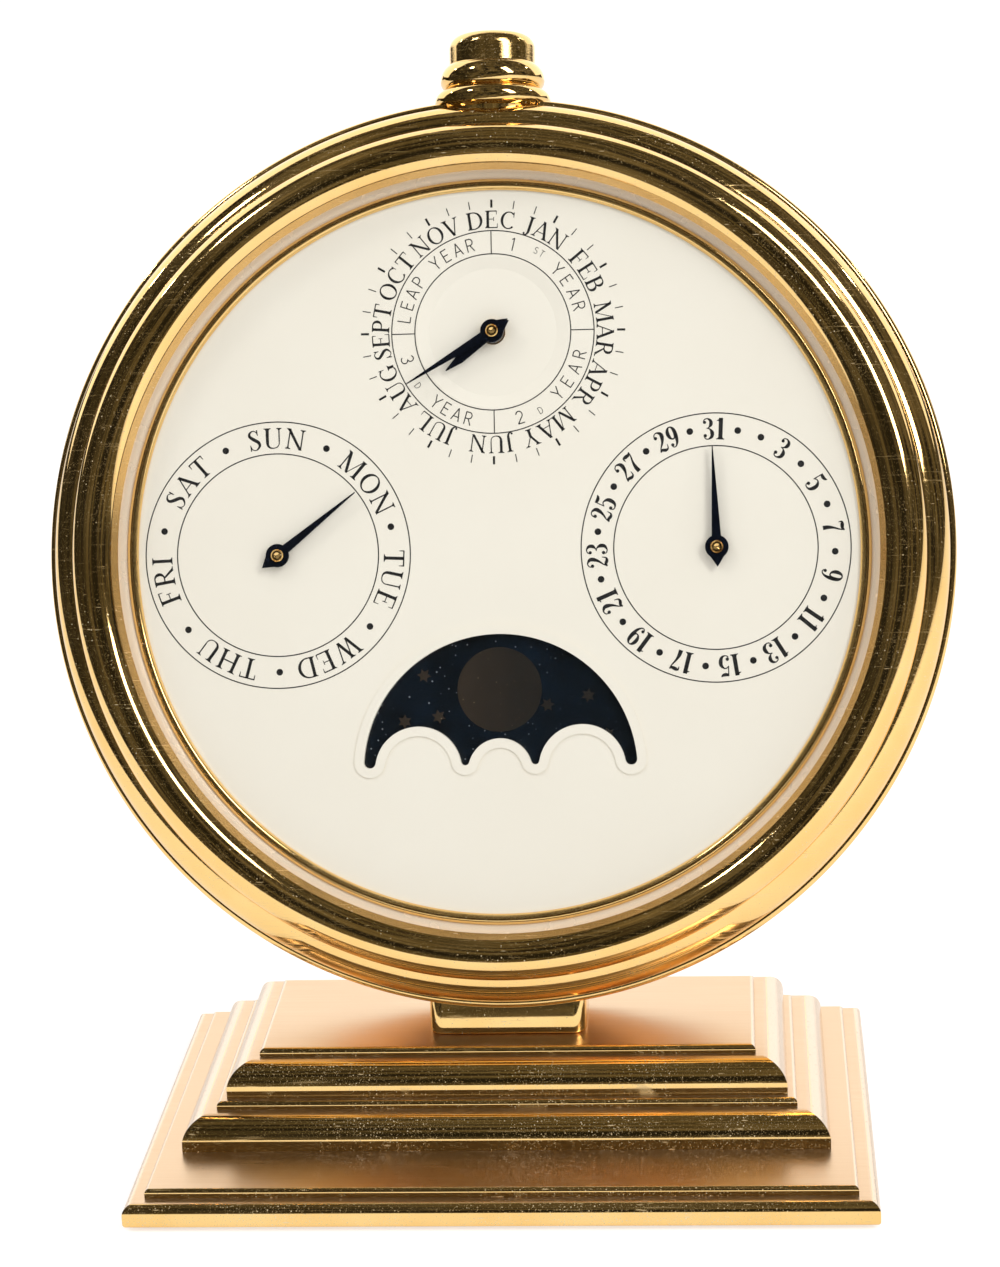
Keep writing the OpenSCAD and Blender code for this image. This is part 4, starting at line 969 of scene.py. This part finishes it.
# %% Moons and stars
disc_top = 3.505
moons = Sheet()
for side in (0, 180):
    moons.at(*around(moon_hub, 13.7, side), 1)
    moons.spot(0, 0, 7.1, 96)
moons.lay("moons", dull_gold, disc_top, "moon_train", 0.05)

stars = Sheet()
STARS = ((36, 13.6), (50, 19.4), (69, 12.2), (72, 19.0), (101, 10.4), (118, 17.6), (131, 21.2),
         (144, 13.9), (-38, 20.6), (-48, 13.9), (-62, 18.2), (-78, 11.6), (-93, 19.8),
         (-112, 13.6), (-128, 20.2))
for angle, r in STARS:
    x, y = around(moon_hub, r, angle)
    middle = Matrix.Translation(Vector((x, y, 0)) * mm) @ Matrix.Rotation(radians(angle), 4, "Z")
    points = bmesh.ops.create_circle(stars.bm, cap_ends=True, segments=12, radius=1.25 * mm,
                                     matrix=middle)
    for k, v in enumerate(points["verts"]):
        if k % 2:
            v.co = middle.translation + (v.co - middle.translation) * 0.52
stars.lay("stars", dull_gold, disc_top, "moon_train", 0.04)

# %% [markdown]
# The camera stands a little over half a metre in front, slightly to the right and above, and
# looks down by 16.5 degrees. Its axes are worked out from yaw, pitch and roll.

# %% Camera
yaw, pitch, roll = radians(-4.62), radians(16.49), radians(2.37)
ahead = Vector((sin(yaw) * cos(pitch), cos(yaw) * cos(pitch), -sin(pitch)))
level_right = Vector((cos(yaw), -sin(yaw), 0))
down = ahead.cross(level_right)
right = level_right * cos(roll) + down * sin(roll)
below = down * cos(roll) - level_right * sin(roll)
lens = bpy.data.cameras.new("camera")
sensor, focal_length, frame_height = 36, 3100, 1267
lens.sensor_fit, lens.sensor_width = "AUTO", sensor
lens.lens = focal_length / frame_height * sensor
lens.clip_start, lens.clip_end = 0.01, 50
camera = put("camera", lens)
eye = (0.0404, -0.4871, 0.23295)
camera.matrix_world = Matrix.Translation(eye) @ Matrix(
    (right, -below, -ahead)).transposed().to_4x4()
bpy.context.scene.camera = camera
print("lens", round(lens.lens, 2), "mm")

# %% [markdown]
# Polished metal shows its surroundings, so the studio is part of the finish: a white table
# whose near edge runs askew, a white wall behind, and a dark room in front of it and above.
# The dark room is a large shell, and a dark card covers the table's far end; only reflections
# see wall, room and card. The table keeps the object's shadow; a little light of its own
# brings it up to plain white. The wall is a strip that is drawn from post to post.


# %% Studio
def stand_in(name, bm, finish, seen=False):
    """A thing of the studio; unless it is seen, only reflections show it."""
    made = shaped(name, bm, finish=finish)
    if not seen:
        made.visible_camera = made.visible_diffuse = made.visible_shadow = False


def seen_white(finish):
    """1 for camera, mirrored and refracted rays."""
    seen = finish.node("LightPath", out="Is Camera Ray")
    seen = seen.highest(finish.node("LightPath", out="Is Glossy Ray"))
    return seen.highest(finish.node("LightPath", out="Is Transmission Ray"))


table_white = Finish("table_white", {"Base Color": (0.62, 0.62, 0.62, 1), "Roughness": 0.9,
                                     "Specular IOR Level": 0.1,
                                     "Emission Color": (1.0, 1.0, 1.0, 1)})
mirrored = table_white.node("LightPath", out="Is Glossy Ray")
table_white.paint("Emission Strength", seen_white(table_white) * 0.54 - mirrored * 0.16)
bm = bmesh.new()
bmesh.ops.create_grid(bm, x_segments=2, y_segments=2, size=3.0)
bmesh.ops.bisect_plane(bm, geom=whole(bm), plane_co=(0, -0.37, 0), plane_no=(-0.94, -1, 0),
                       clear_outer=True)
stand_in("table", bm, table_white, seen=True)


def towards(azimuth, height):
    """Direction from the case: azimuth from straight behind, clockwise, and elevation."""
    a, e = radians(azimuth), radians(height)
    return Vector((sin(a) * cos(e), cos(a) * cos(e), sin(e)))


UNLIT = {"Base Color": (0, 0, 0, 1), "Specular IOR Level": 0.0}
wall_white = Finish("wall_white", {**UNLIT, "Emission Color": (1, 1, 1, 1)})
wall_white.paint("Emission Strength", seen_white(wall_white) * 1.35)
bm = bmesh.new()
posts = ((-68, 6, 45), (-52, 6, 53), (-36, 6, 60), (-33, -3.8, 60), (-18, -3.8, 61),
         (0, -3.8, 61), (18, -3.8, 60), (31, -3.8, 53), (34, 6, 51), (54, 6, 38), (63, 6, 20))
wall_distance = 1.35
ends = [[case_centre + towards(a, e) * wall_distance for e in heights] for a, *heights in posts]
edge = bm.edges.new([bm.verts.new(p) for p in ends[0]])
for foot, top in ends[1:]:
    fresh = bmesh.ops.extrude_edge_only(bm, edges=[edge])["geom"]
    edge = next(e for e in fresh if isinstance(e, bmesh.types.BMEdge))
    edge.verts[0].co, edge.verts[1].co = foot, top
stand_in("wall", bm, wall_white)

room_dark = Finish("room_dark", {**UNLIT, "Emission Strength": 1.0})
where = room_dark.node("TexCoord", out="Object")
left = room_dark.ramp(room_dark.parts(where)[0], -1.2, -3.0)
in_front = room_dark.node("VectorMath", {"operation": "DISTANCE"}, {
    0: where, 1: (0.1, -3.2, 1.1)}, out="Value")
shapes = room_dark.ramp(room_dark.noise(where, 1.2, 4.0, 0.6), 0.38, 0.66) * (1 - left * 0.8)
shapes = shapes * room_dark.ramp(in_front, 0.5, 1.1)
room_dark.paint("Emission Color", room_dark.mix(
    shapes, (0.018, 0.017, 0.013, 1), (0.175, 0.158, 0.115, 1)))
bm = bmesh.new()
bmesh.ops.create_uvsphere(bm, u_segments=32, v_segments=16, radius=3.4)
bmesh.ops.reverse_faces(bm, faces=bm.faces[:])
stand_in("room", bm, room_dark)
bm = bmesh.new()
bmesh.ops.create_grid(bm, x_segments=1, y_segments=1, size=0.5,
                      matrix=Matrix.Translation((0, 2.6, 0.002)) @ Matrix.Diagonal((7, 1.6, 1, 1)))
stand_in("far_end", bm, room_dark)
print("studio ready")

# %% [markdown]
# The world is white where it is seen and a tenth darker as light.

# %% World
world = bpy.data.worlds.new("studio")
bpy.context.scene.world = world
world.use_nodes = True
sky = Network(world.node_tree)
background = sky.tree.nodes["Background"]
background.inputs["Color"].default_value = (1, 1, 1, 1)
plain = seen_white(sky)
sky.feed(background.inputs["Strength"], plain + (1 - plain) * 0.90)
bpy.context.scene.view_settings.view_transform = "Standard"
print("world ready")

# %% [markdown]
# Four lamps: a softbox high on the right, a bare flash high on the left, and two lamps that
# flank the wall and show as small sparks. Their directions are given from the case.


# %% Lamps
def lamp(name, direction, distance, size, strength, shape="RECTANGLE", along=None):
    """strength is the brightness of the lamp's face, where 1 is white."""
    light = bpy.data.lights.new(name, "AREA")
    light.shape = shape
    light.size, light.size_y = size
    area = size[0] * size[1] * (pi / 4 if shape == "DISK" else 1)
    light.energy = strength * pi * area
    made = put(name, light)
    back = Vector(direction).normalized()
    turn = back.to_track_quat("Z", "Y").to_matrix()
    if along is not None:
        long = (along - back * along.dot(back)).normalized()
        turn = Matrix((long, back.cross(long), back)).transposed()
    made.matrix_world = Matrix.Translation(case_centre + back * distance) @ turn.to_4x4()
    made.visible_camera = False


lamp("softbox", (0.568, -0.535, 0.625), 1.3, (0.76, 0.27), 9.0,
     along=Vector((0.69, -0.63, 0.36)) - Vector((0.38, -0.45, 0.80)))
lamp("flash", (-0.555, -0.260, 0.790), 1.4, (0.18, 0.18), 22.0, "DISK")
for side, direction in (("right", (0.75, 0.32, 0.58)), ("left", (-0.77, 0.325, 0.547))):
    lamp("wall_lamp_" + side, direction, 1.1, (0.05, 0.05), 40.0, "DISK")
